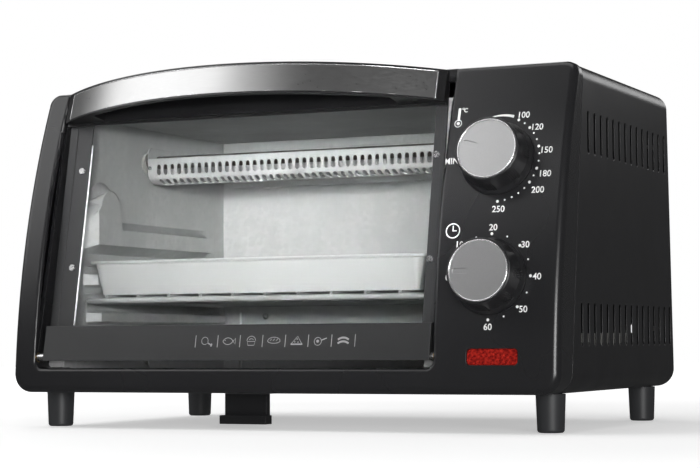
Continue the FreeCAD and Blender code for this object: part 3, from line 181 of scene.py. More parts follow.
def plastic(name, color, rough, grain=0.0005, depth=0.00002, edge=0.0003, highlight_color=None):
    """Moulded plastic: a faint grain, slow changes of tone and gloss, softened edges, and a painted
    highlight along the edges where a colour is given for it.
    """
    look = Look(name, color, rough)
    look.tint(look.noise(0.03), 0.82, 1.18)
    look.gloss(look.noise(0.05), 0.04)
    look.soften(edge)
    look.relief(look.noise(grain, detail=1), depth)
    if highlight_color:
        look.paint_edge_highlight(edge * 2, highlight_color)
    return look


def sheet_metal(name, color, rough, cell=0.004, drawn=(1, 1, 1), marks=0.1):
    """Plated sheet: crystals, drawing lines, smears and soft edges."""
    look = Look(name, color, rough, metal=1.0)
    look.tint(look.cells(cell), 1 - marks, 1 + marks)
    look.gloss(look.noise(0.02, drawn, detail=4), 0.08)
    look.soften(0.0002)
    look.relief(look.noise(0.0012, drawn, detail=2), 0.00002, 0.6)
    return look


LOOKS = {}


def keep(slot, look):
    """Use the look for a material slot, or for pieces that name it."""
    LOOKS[slot] = look
    return look


def printed(name, tone, low, high):
    """Matt printing ink of a grey tone."""
    look = keep(name, Look(name, tone, 0.45))
    look.tint(look.noise(0.0006), low, high)
    look.gloss(look.noise(0.002), 0.06)
    look.relief(look.noise(0.0003, detail=1), 0.00001)


def make_looks():
    # Satin black moulding of the front, with a painted highlight along its edges.
    bezel = keep("bezel", Look("bezel", (0.0125, 0.0125, 0.0135), 0.27))
    bezel.tint(bezel.noise(0.06, detail=2), 0.85, 1.15)
    bezel.gloss(bezel.noise(0.08, detail=2), 0.03)
    bezel.soften(0.0005)
    bezel.relief(bezel.noise(0.00045, detail=1), 0.000012)
    bezel.paint_edge_highlight(0.001, (0.06, 0.06, 0.062), 0.25)

    # Black enamel on sheet steel: fine orange peel.
    shell = keep("shell", Look("shell", (0.0105, 0.0105, 0.0115), 0.34))
    shell.tint(shell.noise(0.05, detail=2), 0.8, 1.2)
    shell.gloss(shell.noise(0.03, detail=3), 0.035)
    shell.soften(0.0004)
    shell.relief(shell.noise(0.0011, detail=1), 0.00002, 0.7)
    shell.relief(shell.noise(0.00035, detail=1), 0.00001, 0.7)
    # Painted highlight: the edges are paler in patches.
    shell.paint_edge_highlight(0.0008, (0.09, 0.09, 0.09), 0.3)

    # Duller black paint of the rear panel.
    panel = keep("panel", Look("panel", (0.016, 0.016, 0.017), 0.42))
    panel.tint(panel.noise(0.02), 0.75, 1.25)
    panel.gloss(panel.noise(0.04), 0.05)
    panel.soften(0.0003)
    panel.relief(panel.noise(0.0009, detail=1), 0.00002)

    # Inner walls: aluminised sheet, dull with crystals, faint drawing lines and a cloudy shade.
    liner = keep("liner", Look("liner", (0.6, 0.6, 0.603), 0.4, 0.2))
    cloud = liner.noise(0.045, (1, 1, 0.6), detail=3)
    crystals = liner.mix(liner.cells(0.003), (0.57, 0.571, 0.573), (0.66, 0.661, 0.663))
    liner.paint(liner.mix(liner.span(cloud, 0.35, 0.7), crystals, (0.52, 0.521, 0.524)))
    liner.gloss(liner.noise(0.02, (1, 1, 0.2), detail=4), 0.09)
    liner.soften(0.0007)
    liner.relief(liner.noise(0.05, detail=1), 0.0008, 0.25)
    liner.relief(liner.noise(0.0009, (1, 1, 0.15), detail=2), 0.00002, 0.6)

    # Metals with crystals and drawing lines: zinc plate, the crumb tray, the bell, bronze.
    keep("zinc", sheet_metal("zinc", (0.5, 0.51, 0.52), 0.38, cell=0.006, marks=0.18))
    keep("crumb", sheet_metal("crumb", (0.62, 0.62, 0.63), 0.33, cell=0.004, drawn=(1, 0.05, 1)))
    keep("bell", sheet_metal("bell", (0.6, 0.59, 0.56), 0.22, cell=0.002))
    keep("bronze", sheet_metal("bronze", (0.5, 0.35, 0.17), 0.4, cell=0.0006, marks=0.25))

    # Bake tray: pale drawn sheet.
    tray = keep("tray", Look("tray", (0.72, 0.721, 0.723), 0.34, 0.25))
    tray.tint(tray.noise(0.03, (0.3, 1, 1), detail=4), 0.93, 1.04)
    tray.gloss(tray.noise(0.02, (0.15, 1, 1), detail=4), 0.07)
    tray.soften(0.0006)
    tray.relief(tray.noise(0.0008, (0.05, 1, 1), detail=2), 0.00002, 0.7)

    # Bright plated screws and rivets.
    screw = keep("screw", Look("screw", (0.62, 0.62, 0.62), 0.27, 1.0))
    screw.tint(screw.noise(0.002), 0.75, 1.15)
    screw.gloss(screw.noise(0.001), 0.1)
    screw.soften(0.0004)
    screw.relief(screw.noise(0.0004, detail=1), 0.00003)

    # Nichrome sheath, browned by heat in bands.
    heater = keep("heater", Look("heater", (0.25, 0.235, 0.225), 0.42, 0.85))
    burnt = heater.span(heater.noise(0.02, detail=4), 0.35, 0.65)
    heater.paint(heater.mix(burnt, (0.32, 0.31, 0.30), (0.13, 0.105, 0.09)))
    heater.gloss(heater.noise(0.004), 0.12)
    heater.relief(heater.noise(0.0008), 0.00004)

    # Sooted porcelain round the heaters' ends.
    ceramic = keep("ceramic", Look("ceramic", (0.42, 0.41, 0.39), 0.55))
    ceramic.tint(ceramic.noise(0.0025), 0.85, 1.1)
    ceramic.gloss(ceramic.noise(0.004), 0.08)
    ceramic.soften(0.0004)
    ceramic.relief(ceramic.noise(0.0006), 0.00006)

    # Mouldings. Where a last colour is given, it is a painted highlight along the edges.
    keep("switch", plastic("switch", (0.07, 0.06, 0.05), 0.5, highlight_color=(0.15, 0.13, 0.11)))
    keep("holder", plastic("holder", (0.02, 0.02, 0.02), 0.4))
    keep("block", plastic("block", (0.72, 0.71, 0.67), 0.45))
    keep("gland", plastic("gland", (0.02, 0.02, 0.02), 0.55, grain=0.0009, depth=0.00005))
    keep("foot", plastic("foot", (0.028, 0.029, 0.031), 0.42, grain=0.0006, depth=0.00003,
                         highlight_color=(0.09, 0.09, 0.09)))
    keep("tab", plastic("tab", (0.011, 0.011, 0.012), 0.33, highlight_color=(0.05, 0.05, 0.05)))
    keep("handle", plastic("handle", (0.0085, 0.0085, 0.009), 0.3, highlight_color=(0.05, 0.05, 0.05)))
    keep("plate", plastic("plate", (0.02, 0.0205, 0.021), 0.38, edge=0.0005,
                          highlight_color=(0.08, 0.08, 0.08)))
    keep("knob", plastic("knob", (0.012, 0.012, 0.013), 0.33, grain=0.0004,
                         highlight_color=(0.06, 0.06, 0.06)))

    # Glass braid on the wires.
    wire = keep("wire", Look("wire", (0.5, 0.49, 0.46), 0.75))
    braid = wire.add("ShaderNodeTexWave", wave_type="BANDS", bands_direction="DIAGONAL")
    wire.set(braid, Scale=900.0, Distortion=1.0)
    wire.link(wire.where, braid.inputs["Vector"])
    wire.tint(braid.outputs["Fac"], 0.7, 1.1)
    wire.relief(braid.outputs["Fac"], 0.0001)

    # Grey enamel on the door's side strips.
    strip = keep("strip", Look("strip", (0.026, 0.0265, 0.0275), 0.36))
    strip.tint(strip.noise(0.03, (1, 1, 0.3)), 0.8, 1.2)
    strip.gloss(strip.noise(0.02), 0.05)
    strip.soften(0.0003)
    strip.relief(strip.noise(0.0006, detail=1), 0.00001)
    # Painted highlight: the edges are paler in patches.
    strip.paint_edge_highlight(0.0006, (0.1, 0.1, 0.1), 0.3)

    # The handle's inlay: stainless steel brushed along the handle.
    steel = keep("steel", Look("steel", (0.5, 0.5, 0.5), 0.3, 1.0))
    hair = steel.noise(0.0006, (0.012, 1, 1), detail=3, harsh=0.6)
    long_hair = steel.noise(0.0016, (0.004, 1, 1), detail=2)
    steel.tint(hair, 0.93, 1.06)
    steel.gloss(long_hair, 0.03)
    steel.relief(long_hair, 0.000001, 0.2)

    # Knob discs: satin metal with a fine spun grain.
    face = keep("knob_face", Look("knob_face", (0.6, 0.6, 0.605), 0.34, 0.9))
    face.tint(face.noise(0.0005, detail=2), 0.9, 1.08)
    face.gloss(face.noise(0.0008, detail=2), 0.06)
    face.soften(0.0002)
    face.relief(face.noise(0.0003, detail=1), 0.00001, 0.8)

    # Bright trim, the rack's wire, and the near-white ground_edge, which draws painted highlight
    # lines along the pane, the guards' slots and the rear wall.
    for slot, color, rough, metal in (("knob_rim", (0.9, 0.9, 0.91), 0.14, 0.8),
                                      ("chrome", (0.86, 0.86, 0.87), 0.2, 0.55),
                                      ("ground_edge", (0.92, 0.93, 0.93), 0.4, 0.0)):
        bright = keep(slot, Look(slot, color, rough, metal))
        bright.tint(bright.noise(0.006), 0.93, 1.05)
        bright.gloss(bright.noise(0.003), 0.05)
        bright.relief(bright.noise(0.002), 0.00001)

    # Pilot lamp: red plastic with a mottled inside.
    lens = keep("lens", Look("lens", (0.5, 0.012, 0.01), 0.14))
    lens.set(lens.shader, IOR=1.49)
    mottle = lens.noise(0.0017, detail=2, harsh=0.6)
    glow = lens.span(mottle, 0.38, 0.75)
    lens.paint(lens.mix(glow, (0.1, 0.003, 0.003), (0.34, 0.016, 0.01)))
    lit = lens.mix(glow, (0.1, 0.0, 0.0), (0.5, 0.03, 0.012))
    lens.link(lit, lens.shader.inputs["Emission Color"])
    lens.set(lens.shader, Emission_Strength=0.16)
    lens.gloss(lens.noise(0.004), 0.05)
    lens.relief(mottle, 0.00006, 0.3)

    make_glass_look()

    printed("ink", (0.78, 0.78, 0.77), 0.9, 1.08)
    printed("pale_ink", (0.3, 0.3, 0.3), 0.85, 1.1)


def make_glass_look():
    """Toughened glass: mostly seen through, a mirror at its edges of view, faint dust."""
    look = Look("glass", (0.02, 0.021, 0.021), 0.03)
    look.gloss(look.noise(0.05), 0.015)
    clear = look.add("ShaderNodeBsdfTransparent")
    clear.inputs["Color"].default_value = (0.955, 0.965, 0.962, 1)
    mix = look.add("ShaderNodeMixShader")
    fresnel = look.add("ShaderNodeFresnel")
    look.set(fresnel, IOR=1.5)
    haze = look.span(look.noise(0.03, detail=4), 0.4, 0.8, 0.0, 0.012)
    share = look.math("ADD", look.math("MULTIPLY", fresnel.outputs[0], 0.8), haze)
    look.link(share, mix.inputs[0])
    look.link(clear.outputs[0], mix.inputs[1])
    look.link(look.shader.outputs[0], mix.inputs[2])
    out = [node for node in look.tree.nodes if node.type == "OUTPUT_MATERIAL"][0]
    look.link(mix.outputs[0], out.inputs["Surface"])
    keep("glass", look)


def dress():
    """Every carried-over part takes the look of its own material slot."""
    for node in NODES.values():
        for slot in node.material_slots:
            slot.material = LOOKS[slot.material.name.split(".")[0]].material


# Building ---------------------------------------------------------------------------------------

def piece(name, verts, faces, look, body, smooth=False):
    """A mesh piece that rides on a body."""
    mesh = bpy.data.meshes.new(name)
    mesh.from_pydata([tuple(v) for v in verts], [], faces)
    mesh.validate()
    mesh.update()
    if smooth:
        mesh.shade_smooth()
    made = bpy.data.objects.new(name, mesh)
    bpy.context.scene.collection.objects.link(made)
    made.data.materials.append(LOOKS[look].material)
    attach(made, body)
    return made


class Skin:
    """The front surface of a CAD part, as seen along +Y."""

    def __init__(self, node):
        mesh = NODES[node].data
        corners = [vertex.co for vertex in mesh.vertices]
        self.tree = BVHTree.FromPolygons(corners, [face.vertices for face in mesh.polygons])

    def hit(self, x, z):
        """The first point and normal behind (x, z), or None twice where there is nothing."""
        return self.tree.ray_cast(Vector((x, -1, z)), Vector((0, 1, 0)))[:2]

    def at(self, x, z, lift):
        """The point behind (x, z), lifted off the surface."""
        place, normal = self.hit(x, z)
        if normal.y > 0:
            normal = -normal
        return place + normal * lift


class Ink:
    """Printed artwork: thin raised shapes on a skin."""

    HIGH = 0.05 * MM
    LOW = -0.05 * MM

    def __init__(self, skin):
        self.skin = skin
        self.verts = []
        self.faces = []

    def shape(self, corners):
        """A filled convex outline, counterclockwise seen from the front."""
        count = len(corners)
        start = len(self.verts)
        for lift in (self.HIGH, self.LOW):
            self.verts += [self.skin.at(x, z, lift) for x, z in corners]
        self.faces.append([start + i for i in range(count)])
        self.faces.append([start + count + i for i in reversed(range(count))])
        for i in range(count):
            k = (i + 1) % count
            self.faces.append([start + k, start + i, start + count + i, start + count + k])

    def dot(self, x, z, radius, sides=16):
        turn = 2 * math.pi / sides
        self.shape([(x + radius * math.cos(i * turn), z + radius * math.sin(i * turn))
                    for i in range(sides)])

    def line(self, points, widths, closed=False):
        """A stroke along points; widths is one number or one for each point."""
        count = len(points)
        if isinstance(widths, float):
            widths = [widths] * count
        left, right = [], []
        for i, (x, z) in enumerate(points):
            before = points[i - 1] if closed or i > 0 else points[i]
            after = points[(i + 1) % count] if closed or i < count - 1 else points[i]
            way = Vector((after[0] - before[0], after[1] - before[1])).normalized()
            side = Vector((-way.y, way.x)) * widths[i] / 2
            left.append((x + side.x, z + side.y))
            right.append((x - side.x, z - side.y))
        start = len(self.verts)
        for lift in (self.HIGH, self.LOW):
            for row in (left, right):
                self.verts += [self.skin.at(x, z, lift) for x, z in row]
        spans = count if closed else count - 1
        for i in range(spans):
            k = (i + 1) % count
            lt, lt2 = start + i, start + k
            rt, rt2 = lt + count, lt2 + count
            lb, lb2 = lt + 2 * count, lt2 + 2 * count
            rb, rb2 = lt + 3 * count, lt2 + 3 * count
            self.faces += [[rt, rt2, lt2, lt], [lb, lb2, rb2, rb]]
            self.faces += [[lt, lt2, lb2, lb], [rt2, rt, rb, rb2]]
        if not closed:
            end = start + count - 1
            self.faces.append([start, start + 2 * count, start + 3 * count, start + count])
            self.faces.append([end + count, end + 3 * count, end + 2 * count, end])

    def word(self, text, x, z, height, weight=0.0):
        """Figures centred on a spot, their height that of a capital."""
        capital = 0.7
        curve = bpy.data.curves.new("figures", type="FONT")
        curve.body = text
        curve.size = height / capital
        curve.offset = weight
        curve.extrude = 1.0
        curve.resolution_u = 4
        holder = bpy.data.objects.new("figures", curve)
        bpy.context.scene.collection.objects.link(holder)
        bpy.context.view_layer.update()
        graph = bpy.context.evaluated_depsgraph_get()
        mesh = bpy.data.meshes.new_from_object(holder.evaluated_get(graph))
        xs = [v.co.x for v in mesh.vertices]
        ys = [v.co.y for v in mesh.vertices]
        shift = x - (min(xs) + max(xs)) / 2, z - (min(ys) + max(ys)) / 2
        start = len(self.verts)
        for v in mesh.vertices:
            lift = self.HIGH if v.co.z > 0 else self.LOW
            self.verts.append(self.skin.at(v.co.x + shift[0], v.co.y + shift[1], lift))
        self.faces += [[start + i for i in p.vertices] for p in mesh.polygons]
        bpy.data.objects.remove(holder)
        bpy.data.curves.remove(curve)
        bpy.data.meshes.remove(mesh)

    def make(self, name, look, body):
        return piece(name, self.verts, self.faces, look, body)


def arc(x, z, radius, start, end, steps=24):
    """Points along an arc, in degrees counterclockwise from +X."""
    angles = [math.radians(start + (end - start) * i / steps) for i in range(steps + 1)]
    return [(x + radius * math.cos(a), z + radius * math.sin(a)) for a in angles]


def tube(points, radius, sides=8, closed=False):
    """Vertices and faces of a round bar along points."""
    count = len(points)
    verts, faces = [], []
    points = [Vector(p) for p in points]
    side = None
    for i, point in enumerate(points):
        before = points[i - 1] if closed or i > 0 else point
        after = points[(i + 1) % count] if closed or i < count - 1 else point
        way = (after - before).normalized()
        if side is None:
            side = way.orthogonal().normalized()
        side = (side - way * side.dot(way)).normalized()
        up = way.cross(side)
        for k in range(sides):
            turn = 2 * math.pi * k / sides
            verts.append(point + (side * math.cos(turn) + up * math.sin(turn)) * radius)
    for i in range(count if closed else count - 1):
        j = (i + 1) % count
        for k in range(sides):
            m = (k + 1) % sides
            faces.append([i * sides + k, i * sides + m, j * sides + m, j * sides + k])
    if not closed:
        faces.append([k for k in reversed(range(sides))])
        faces.append([(count - 1) * sides + k for k in range(sides)])
    return verts, faces


def gather(parts):
    """Several meshes as one."""
    verts, faces = [], []
    for more_verts, more_faces in parts:
        start = len(verts)
        verts += more_verts
        faces += [[start + i for i in face] for face in more_faces]
    return verts, faces


# Printed marks ----------------------------------------------------------------------------------

FINE = 0.35 * MM


def axis_of(joint):
    """Where a knob's axis stands, seen from the front."""
    x, _, z = JOINTS[joint]["pos_m"]
    return x, z


def make_dial_marks():
    """Numbers and dots round the knobs, a thermometer and a clock."""
    ink = Ink(Skin("front_bezel"))
    x, z = axis_of("thermostat_turn")
    ring = 25 * MM
    big, small = 0.85 * MM, 0.55 * MM
    first, turn = 65.5, 1.006
    for heat in range(100, 260, 10):
        angle = math.radians(first - (heat - 100) * turn)
        size = big if heat in (100, 120, 150, 180, 200, 250) else small
        ink.dot(x + ring * math.cos(angle), z + ring * math.sin(angle), size)
    figure = 3.6 * MM
    weight = 0.00006
    for text, dx, dz in (("100", 13.4, 25.7), ("120", 22.4, 18.1), ("150", 29.4, 4.2),
                         ("180", 29.7, -9.6), ("200", 25.8, -18.9), ("250", 2.9, -29.3),
                         ("MIN", -28.6, 0.0)):
        ink.word(text, x + dx * MM, z + dz * MM, figure, weight)
    # The swelling stroke before the lowest heat.
    steps = 20
    stroke = arc(x, z, 26 * MM, 112, 74, steps)
    ink.line(stroke, [(0.1 + 1.5 * (i / steps) ** 0.8) * MM for i in range(steps + 1)])
    # Thermometer with its degree sign.
    tx, tz = 110.4 * MM, 183.9 * MM
    ink.line([(tx, tz - 3 * MM), (tx, tz + 4.6 * MM)], 1.5 * MM)
    ink.line(arc(tx, tz - 4.6 * MM, 2.1 * MM, 0, 345, 23), 0.45 * MM, closed=True)
    ink.dot(tx, tz - 4.6 * MM, 1 * MM)
    ink.line(arc(tx + 2.2 * MM, tz + 4.3 * MM, 0.5 * MM, 0, 330, 11), 0.25 * MM, closed=True)
    ink.word("C", tx + 3.9 * MM, tz + 3.3 * MM, 2.4 * MM, weight)

    x, z = axis_of("timer_turn")
    ring = 24.5 * MM
    # The figures 0 and 10 stand where dots 0 and 2 would be.
    for step in (1, *range(3, 13)):
        angle = math.radians(180 - 22.5 * step)
        size = small if step % 2 else big
        ink.dot(x + ring * math.cos(angle), z + ring * math.sin(angle), size)
    for text, dx, dz in (("0", -25.6, 0.0), ("10", -19.0, 18.8), ("20", 0.6, 28.2),
                         ("30", 20.6, 17.9), ("40", 28.3, -0.3), ("50", 20.9, -18.6),
                         ("60", 0.0, -28.4)):
        ink.word(text, x + dx * MM, z + dz * MM, figure, weight)
    # Clock with hands.
    cx, cz = 113.6 * MM, 115.6 * MM
    bold = 0.6 * MM
    ink.line(arc(cx, cz, 4.1 * MM, 0, 350, 35), bold, closed=True)
    ink.line([(cx, cz - 0.2 * MM), (cx, cz + 3 * MM)], bold)
    ink.line([(cx - 0.3 * MM, cz), (cx + 2.3 * MM, cz)], bold)
    ink.make("dial_marks", "ink", "casing")


def food_bread(ink, x, z):
    """A loaf with three cuts."""
    reach, crown, base = 4.1 * MM, 2.2 * MM, 1.4 * MM
    loaf = []
    for turn in [math.radians(angle) for angle in range(0, 360, 15)]:
        rise = crown if math.sin(turn) > 0 else base
        loaf.append((x + reach * math.cos(turn), z + rise * math.sin(turn)))
    ink.line(loaf, FINE, closed=True)
    for dx in (-2, 0, 2):
        foot = (x + (dx - 0.5) * MM, z + 0.1 * MM)
        ink.line([foot, (foot[0] + MM, z + 1.3 * MM)], FINE)


def food_fish(ink, x, z):
    """A fish: two arcs, a tail and an eye."""
    ink.line(arc(x - 0.6 * MM, z - 1.9 * MM, 3.9 * MM, 150, 30, 12), FINE)
    ink.line(arc(x - 0.6 * MM, z + 1.9 * MM, 3.9 * MM, 210, 330, 12), FINE)
    root = (x + 2.8 * MM, z)
    ink.line([root, (x + 4.4 * MM, z + 1.7 * MM), (x + 4.4 * MM, z - 1.7 * MM), root], FINE)
    ink.dot(x - 2.5 * MM, z + 0.4 * MM, 0.3 * MM, 8)


def food_leg(ink, x, z):
    """A drumstick."""
    ink.line(arc(x - 1.2 * MM, z + 0.3 * MM, 2.2 * MM, -20, 310, 18), FINE)
    ink.line([(x + 0.7 * MM, z - 0.9 * MM), (x + 3.3 * MM, z - 2.2 * MM)], 0.7 * MM)
    ink.dot(x + 3.5 * MM, z - 1.9 * MM, 0.6 * MM, 10)
    ink.dot(x + 3.3 * MM, z - 2.6 * MM, 0.6 * MM, 10)


def food_sausage(ink, x, z):
    """Two sausages side by side."""
    for shift in (1.1, -1.1):
        ink.line(arc(x, z + (shift - 5) * MM, 5.6 * MM, 128, 52, 12), 1.1 * MM)


def food_slice(ink, x, z):
    """A slice of pizza."""
    foot = z - 1.9 * MM
    ink.line([(x - 3.6 * MM, foot), (x + 0.4 * MM, z + 2.6 * MM), (x + 3.6 * MM, foot)], FINE)
    ink.line([(x - 3.8 * MM, z - 2 * MM), (x + 3.8 * MM, z - 2 * MM)], 0.8 * MM)
    for dx, dz in ((-1.2, -0.6), (0.9, -0.8), (0.2, 1.0)):
        ink.dot(x + dx * MM, z + dz * MM, 0.4 * MM, 8)


def food_cake(ink, x, z):
    """A cup cake."""
    brim, foot = z - 0.2 * MM, z - 2.5 * MM
    cup = [(x - 2.6 * MM, brim), (x - 2 * MM, foot), (x + 2 * MM, foot), (x + 2.6 * MM, brim)]
    ink.line(cup, FINE, closed=True)
    ink.line(arc(x, z, 2.9 * MM, 5, 175, 14), FINE)
    ink.line(arc(x, z - 0.5 * MM, 1.9 * MM, 40, 140, 8), FINE)


def food_pan(ink, x, z):
    """A frying pan with something in it."""
    ink.line(arc(x - 1.3 * MM, z - 0.4 * MM, 2.3 * MM, 0, 345, 23), FINE, closed=True)
    ink.line([(x + 1 * MM, z + 0.3 * MM), (x + 4.3 * MM, z + 1.5 * MM)], 0.6 * MM)
    ink.dot(x - 1.4 * MM, z - 0.3 * MM, 0.9 * MM, 12)


def make_door_marks():
    """Seven pictograms of food between eight bars."""
    ink = Ink(Skin("door_bottom_plate"))
    first, pitch = -50 * MM, 15.06 * MM
    middle, half = 53.2 * MM, 3.6 * MM
    foods = (food_leg, food_fish, food_cake, food_bread, food_slice, food_pan, food_sausage)
    for step in range(len(foods) + 1):
        x = first + pitch * step
        ink.line([(x, middle - half), (x, middle + half)], 0.42 * MM)
    for step, food in enumerate(foods):
        food(ink, first + pitch * (step + 0.5), middle)
    ink.make("door_marks", "pale_ink", "door")


# Fine parts -------------------------------------------------------------------------------------

def make_vent_lips():
    """Rolled edge round each slot of the shell's sides, proud of the sheet by a hair."""
    low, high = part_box("outer_shell")
    lip, radius = 0.32 * MM, 2.2 * MM
    # The slots are 4.6 mm wide, and the centres of their round ends stand half that inside them.
    cap = 2.3 * MM
    # Count, first depth, pitch, bottom and top of each row, in millimetres. The depths count
    # from the bezel's bottom front edge, and the origin is this far behind it.
    rows = ((14, 59, 12.35, 161, 186.5), (16, 43, 12.37, 49, 74.5))
    middle = 116.87
    parts = []
    for way, wall in ((1, high.x), (-1, low.x)):
        x = wall - way * lip
        for count, first, pitch, bottom, top in rows:
            for step in range(count):
                y = (first + pitch * step - middle) * MM
                loop = []
                for z, start in ((bottom * MM + cap, 180), (top * MM - cap, 0)):
                    loop += [(x, py, pz) for py, pz in arc(y, z, radius, start, start + 180, 8)]
                parts.append(tube(loop, lip, 6, closed=True))
    verts, faces = gather(parts)
    piece("vent_lips", verts, faces, "shell", "casing", smooth=True)


def make_strip_frame():
    """Fine polished bead round the steel inlay of the handle."""
    skin = Skin("handle_strip")
    low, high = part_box("handle_strip")
    top, bottom = [], []
    steps, inset, scan = 60, 0.5 * MM, 0.15 * MM
    for i in range(steps + 1):
        x = low.x + inset + (high.x - low.x - 2 * inset) * i / steps
        hits = []
        z = high.z + MM
        while z > low.z - MM:
            place, _ = skin.hit(x, z)
            if place is not None:
                hits.append(place)
            z -= scan
        top.append(hits[0])
        bottom.append(hits[-1])
    verts, faces = tube(bottom + top[::-1], 0.33 * MM, 8, closed=True)
    piece("strip_frame", verts, faces, "knob_rim", "door", smooth=True)


def make_pane_edge_highlight():
    """A painted highlight: a near-white line along the pane's edge, inside the left side strip."""
    tilt = math.radians(10.76)
    rise = Vector((0, math.sin(tilt), math.cos(tilt)))
    _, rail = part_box("door_left_rail")
    _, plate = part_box("door_bottom_plate")
    start = Vector((rail.x + 0.45 * MM, plate.y + 2.2 * MM, plate.z + 0.5 * MM))
    spans, span = 9, 13 * MM
    points = [start + rise * (i * span) for i in range(spans + 1)]
    verts, faces = tube(points, 0.55 * MM, 8)
    piece("pane_edge_highlight", verts, faces, "ground_edge", "door", smooth=True)


def button_head(x, y, z, radius):
    """Vertices and faces of a low domed head that faces the front."""
    sides = 16
    # Radius and height of each ring, as shares of the head's radius.
    rings = ((1.0, 0.0), (0.92, 0.26), (0.63, 0.5), (0.26, 0.6))
    verts = []
    for share, lift in rings:
        for px, pz in arc(x, z, radius * share, 0, 360 - 360 / sides, sides - 1):
            verts.append(Vector((px, y - lift * radius, pz)))
    faces = [list(reversed(range(sides)))]
    for ring in range(len(rings) - 1):
        base = ring * sides
        for k in range(sides):
            m = (k + 1) % sides
            faces.append([base + k, base + m, base + sides + m, base + sides + k])
    faces.append([(len(rings) - 1) * sides + k for k in range(sides)])
    return verts, faces


def make_cavity_details():
    """Guard rivets and the rear wall's screw, with painted highlights: near-white lines along the
    guards' slot edges and up the rear wall.
    """
    rivets, slot_highlights = [], []
    slots, first, pitch, half = 43, 8.45 * MM, 5.15 * MM, 1.2 * MM
    climb, depth = 10.3 * MM, 10.3 * MM
    for node, way in (("upper_heater_guard", 1), ("lower_heater_guard", -1)):
        low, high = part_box(node)
        hem = low.z if way > 0 else high.z
        for x in (low.x + 1.7 * MM, high.x - 2.4 * MM):
            rivets.append(button_head(x, low.y, hem + way * climb, 1.3 * MM))
        for k in range(slots):
            x, y = low.x + first + k * pitch, low.y + depth
            # A near-white line at each slot's edge: a painted highlight.
            slot_highlights.append(tube([(x - half, y, hem), (x + half, y, hem)], 0.3 * MM, 6))
    low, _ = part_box("cavity_rear_wall")
    rivets.append(button_head(-117 * MM, low.y, 71 * MM, 2.4 * MM))
    # A near-white line up the rear wall: a painted highlight.
    highlight_x, highlight_top = -137 * MM, 74 * MM
    highlight_line = tube([(highlight_x, low.y, low.z + 3 * MM), (highlight_x, low.y, highlight_top)], 0.9 * MM, 8)
    for name, (verts, faces), look in (
        ("cavity_rivets", gather(rivets), "screw"),
        ("guard_slot_highlights", gather(slot_highlights), "ground_edge"),
        ("rear_wall_highlight", highlight_line, "ground_edge"),
    ):
        piece(name, verts, faces, look, "casing", smooth=True)


# Studio -----------------------------------------------------------------------------------------

def make_floor():
    """A pale round floor."""
    reach, sides = 3.2, 96
    rim = arc(0, 0, reach, 0, 360 - 360 / sides, sides - 1)
    verts = [(0, 0, 0)] + [(x, y, 0) for x, y in rim]
    faces = [[0, 1 + i, 1 + (i + 1) % sides] for i in range(sides)]
    mesh = bpy.data.meshes.new("floor")
    mesh.from_pydata(verts, [], faces)
    floor = bpy.data.objects.new("floor", mesh)
    bpy.context.scene.collection.objects.link(floor)
    look = Look("floor", (0.86, 0.86, 0.86), 0.75)
    look.tint(look.noise(0.4, detail=2), 0.985, 1.0)
    look.gloss(look.noise(0.1), 0.05)
    look.relief(look.noise(0.002, detail=1), 0.00002)
    # The floor glows more away from the lights, so that it meets the backdrop without a line.
    away = look.add("ShaderNodeVectorMath", operation="LENGTH")
    look.link(look.where, away.inputs[0])
    near, far, least, most = 0.4, 1.5, 0.45, 1.0
    glow = look.span(away.outputs["Value"], near, far, least, most)
    look.link(glow, look.shader.inputs["Emission Strength"])
    look.set(look.shader, Emission_Color=(1, 1, 1, 1), Specular_IOR_Level=0.1)
    floor.data.materials.append(look.material)
    floor.visible_glossy = False


def softbox(name, azimuth, elevation, distance, size, power, aim=(-0.02, 0.0, 0.11)):
    """A rectangular area light; azimuth 0 is straight ahead of the front, positive to the right."""
    light = bpy.data.lights.new(name, "AREA")
    light.shape = "RECTANGLE"
    light.size, light.size_y = size
    light.energy = power
    made = bpy.data.objects.new(name, light)
    turn, lift = math.radians(azimuth), math.radians(elevation)
    flat = math.cos(lift)
    way = Vector((math.sin(turn) * flat, -math.cos(turn) * flat, math.sin(lift)))
    made.location = Vector(aim) + way * distance
    made.rotation_euler = way.to_track_quat("Z", "Y").to_euler()
    made.visible_camera = False
    bpy.context.scene.collection.objects.link(made)
    return made


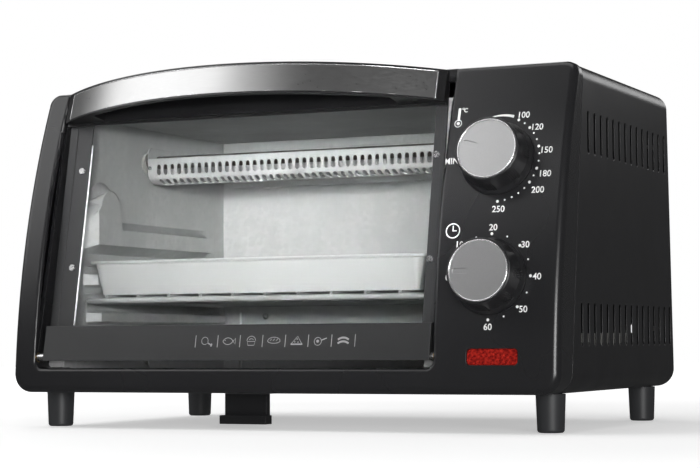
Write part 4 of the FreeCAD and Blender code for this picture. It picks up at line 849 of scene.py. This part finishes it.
def make_lights():
    """Softboxes round the oven: name, azimuth, elevation, distance, size and power."""
    softbox("key", -60, 36, 1.6, (1.3, 1.3), 11)
    softbox("sky", -22, 35, 1.7, (0.7, 0.35), 0.85)
    softbox("front_fill", 36, 5, 1.9, (0.8, 0.5), 18)
    softbox("overhead", 0, 84, 1.5, (1.2, 1.0), 6)
    softbox("side_sheen", 155, 20, 1.7, (0.9, 0.35), 2.2)
    softbox("back_fill", 215, 40, 1.9, (1.0, 0.8), 6)
    # A narrow beam through the window, which fills the cavity.
    beam = softbox("window_beam", 22, 1, 1.1, (0.22, 0.1), 0.2, aim=(-0.035, -0.03, 0.14))
    beam.data.spread = math.radians(12)
    beam.visible_glossy = False


def make_world():
    """White to the camera, dim to everything else."""
    world = bpy.data.worlds.new("studio")
    bpy.context.scene.world = world
    world.use_nodes = True
    tree = world.node_tree
    back = tree.nodes["Background"]
    back.inputs["Color"].default_value = (1, 1, 1, 1)
    back.inputs["Strength"].default_value = 0.06
    seen = tree.nodes.new("ShaderNodeBackground")
    seen.inputs["Color"].default_value = (1, 1, 1, 1)
    seen.inputs["Strength"].default_value = 1.0
    path = tree.nodes.new("ShaderNodeLightPath")
    mix = tree.nodes.new("ShaderNodeMixShader")
    tree.links.new(path.outputs["Is Camera Ray"], mix.inputs[0])
    tree.links.new(back.outputs[0], mix.inputs[1])
    tree.links.new(seen.outputs[0], mix.inputs[2])
    tree.links.new(mix.outputs[0], tree.nodes["World Output"].inputs[0])


def make_camera():
    """Low, to the right of the front, looking slightly up."""
    turn, lift, roll = math.radians(24.581), math.radians(3.072), math.radians(-0.345)
    place = Vector((0.534721, -1.168345, 0.052904))
    flat = math.cos(lift)
    ahead = Vector((-math.sin(turn) * flat, math.cos(turn) * flat, math.sin(lift)))
    level = Vector((math.cos(turn), math.sin(turn), 0))
    upright = level.cross(ahead)
    right = level * math.cos(roll) + upright * math.sin(roll)
    up = upright * math.cos(roll) - level * math.sin(roll)
    camera = bpy.data.cameras.new("camera")
    camera.sensor_width = 36
    camera.lens = 102.51
    camera.clip_start = 0.01
    made = bpy.data.objects.new("camera", camera)
    turned = Matrix((right, up, -ahead)).transposed().to_4x4()
    turned.translation = place
    made.matrix_world = turned
    bpy.context.scene.collection.objects.link(made)
    bpy.context.scene.camera = made


bpy.context.scene.view_settings.view_transform = "Standard"
make_looks()
dress()
make_dial_marks()
make_door_marks()
make_vent_lips()
make_strip_frame()
make_pane_edge_highlight()
make_cavity_details()
make_floor()
make_lights()
make_world()
make_camera()
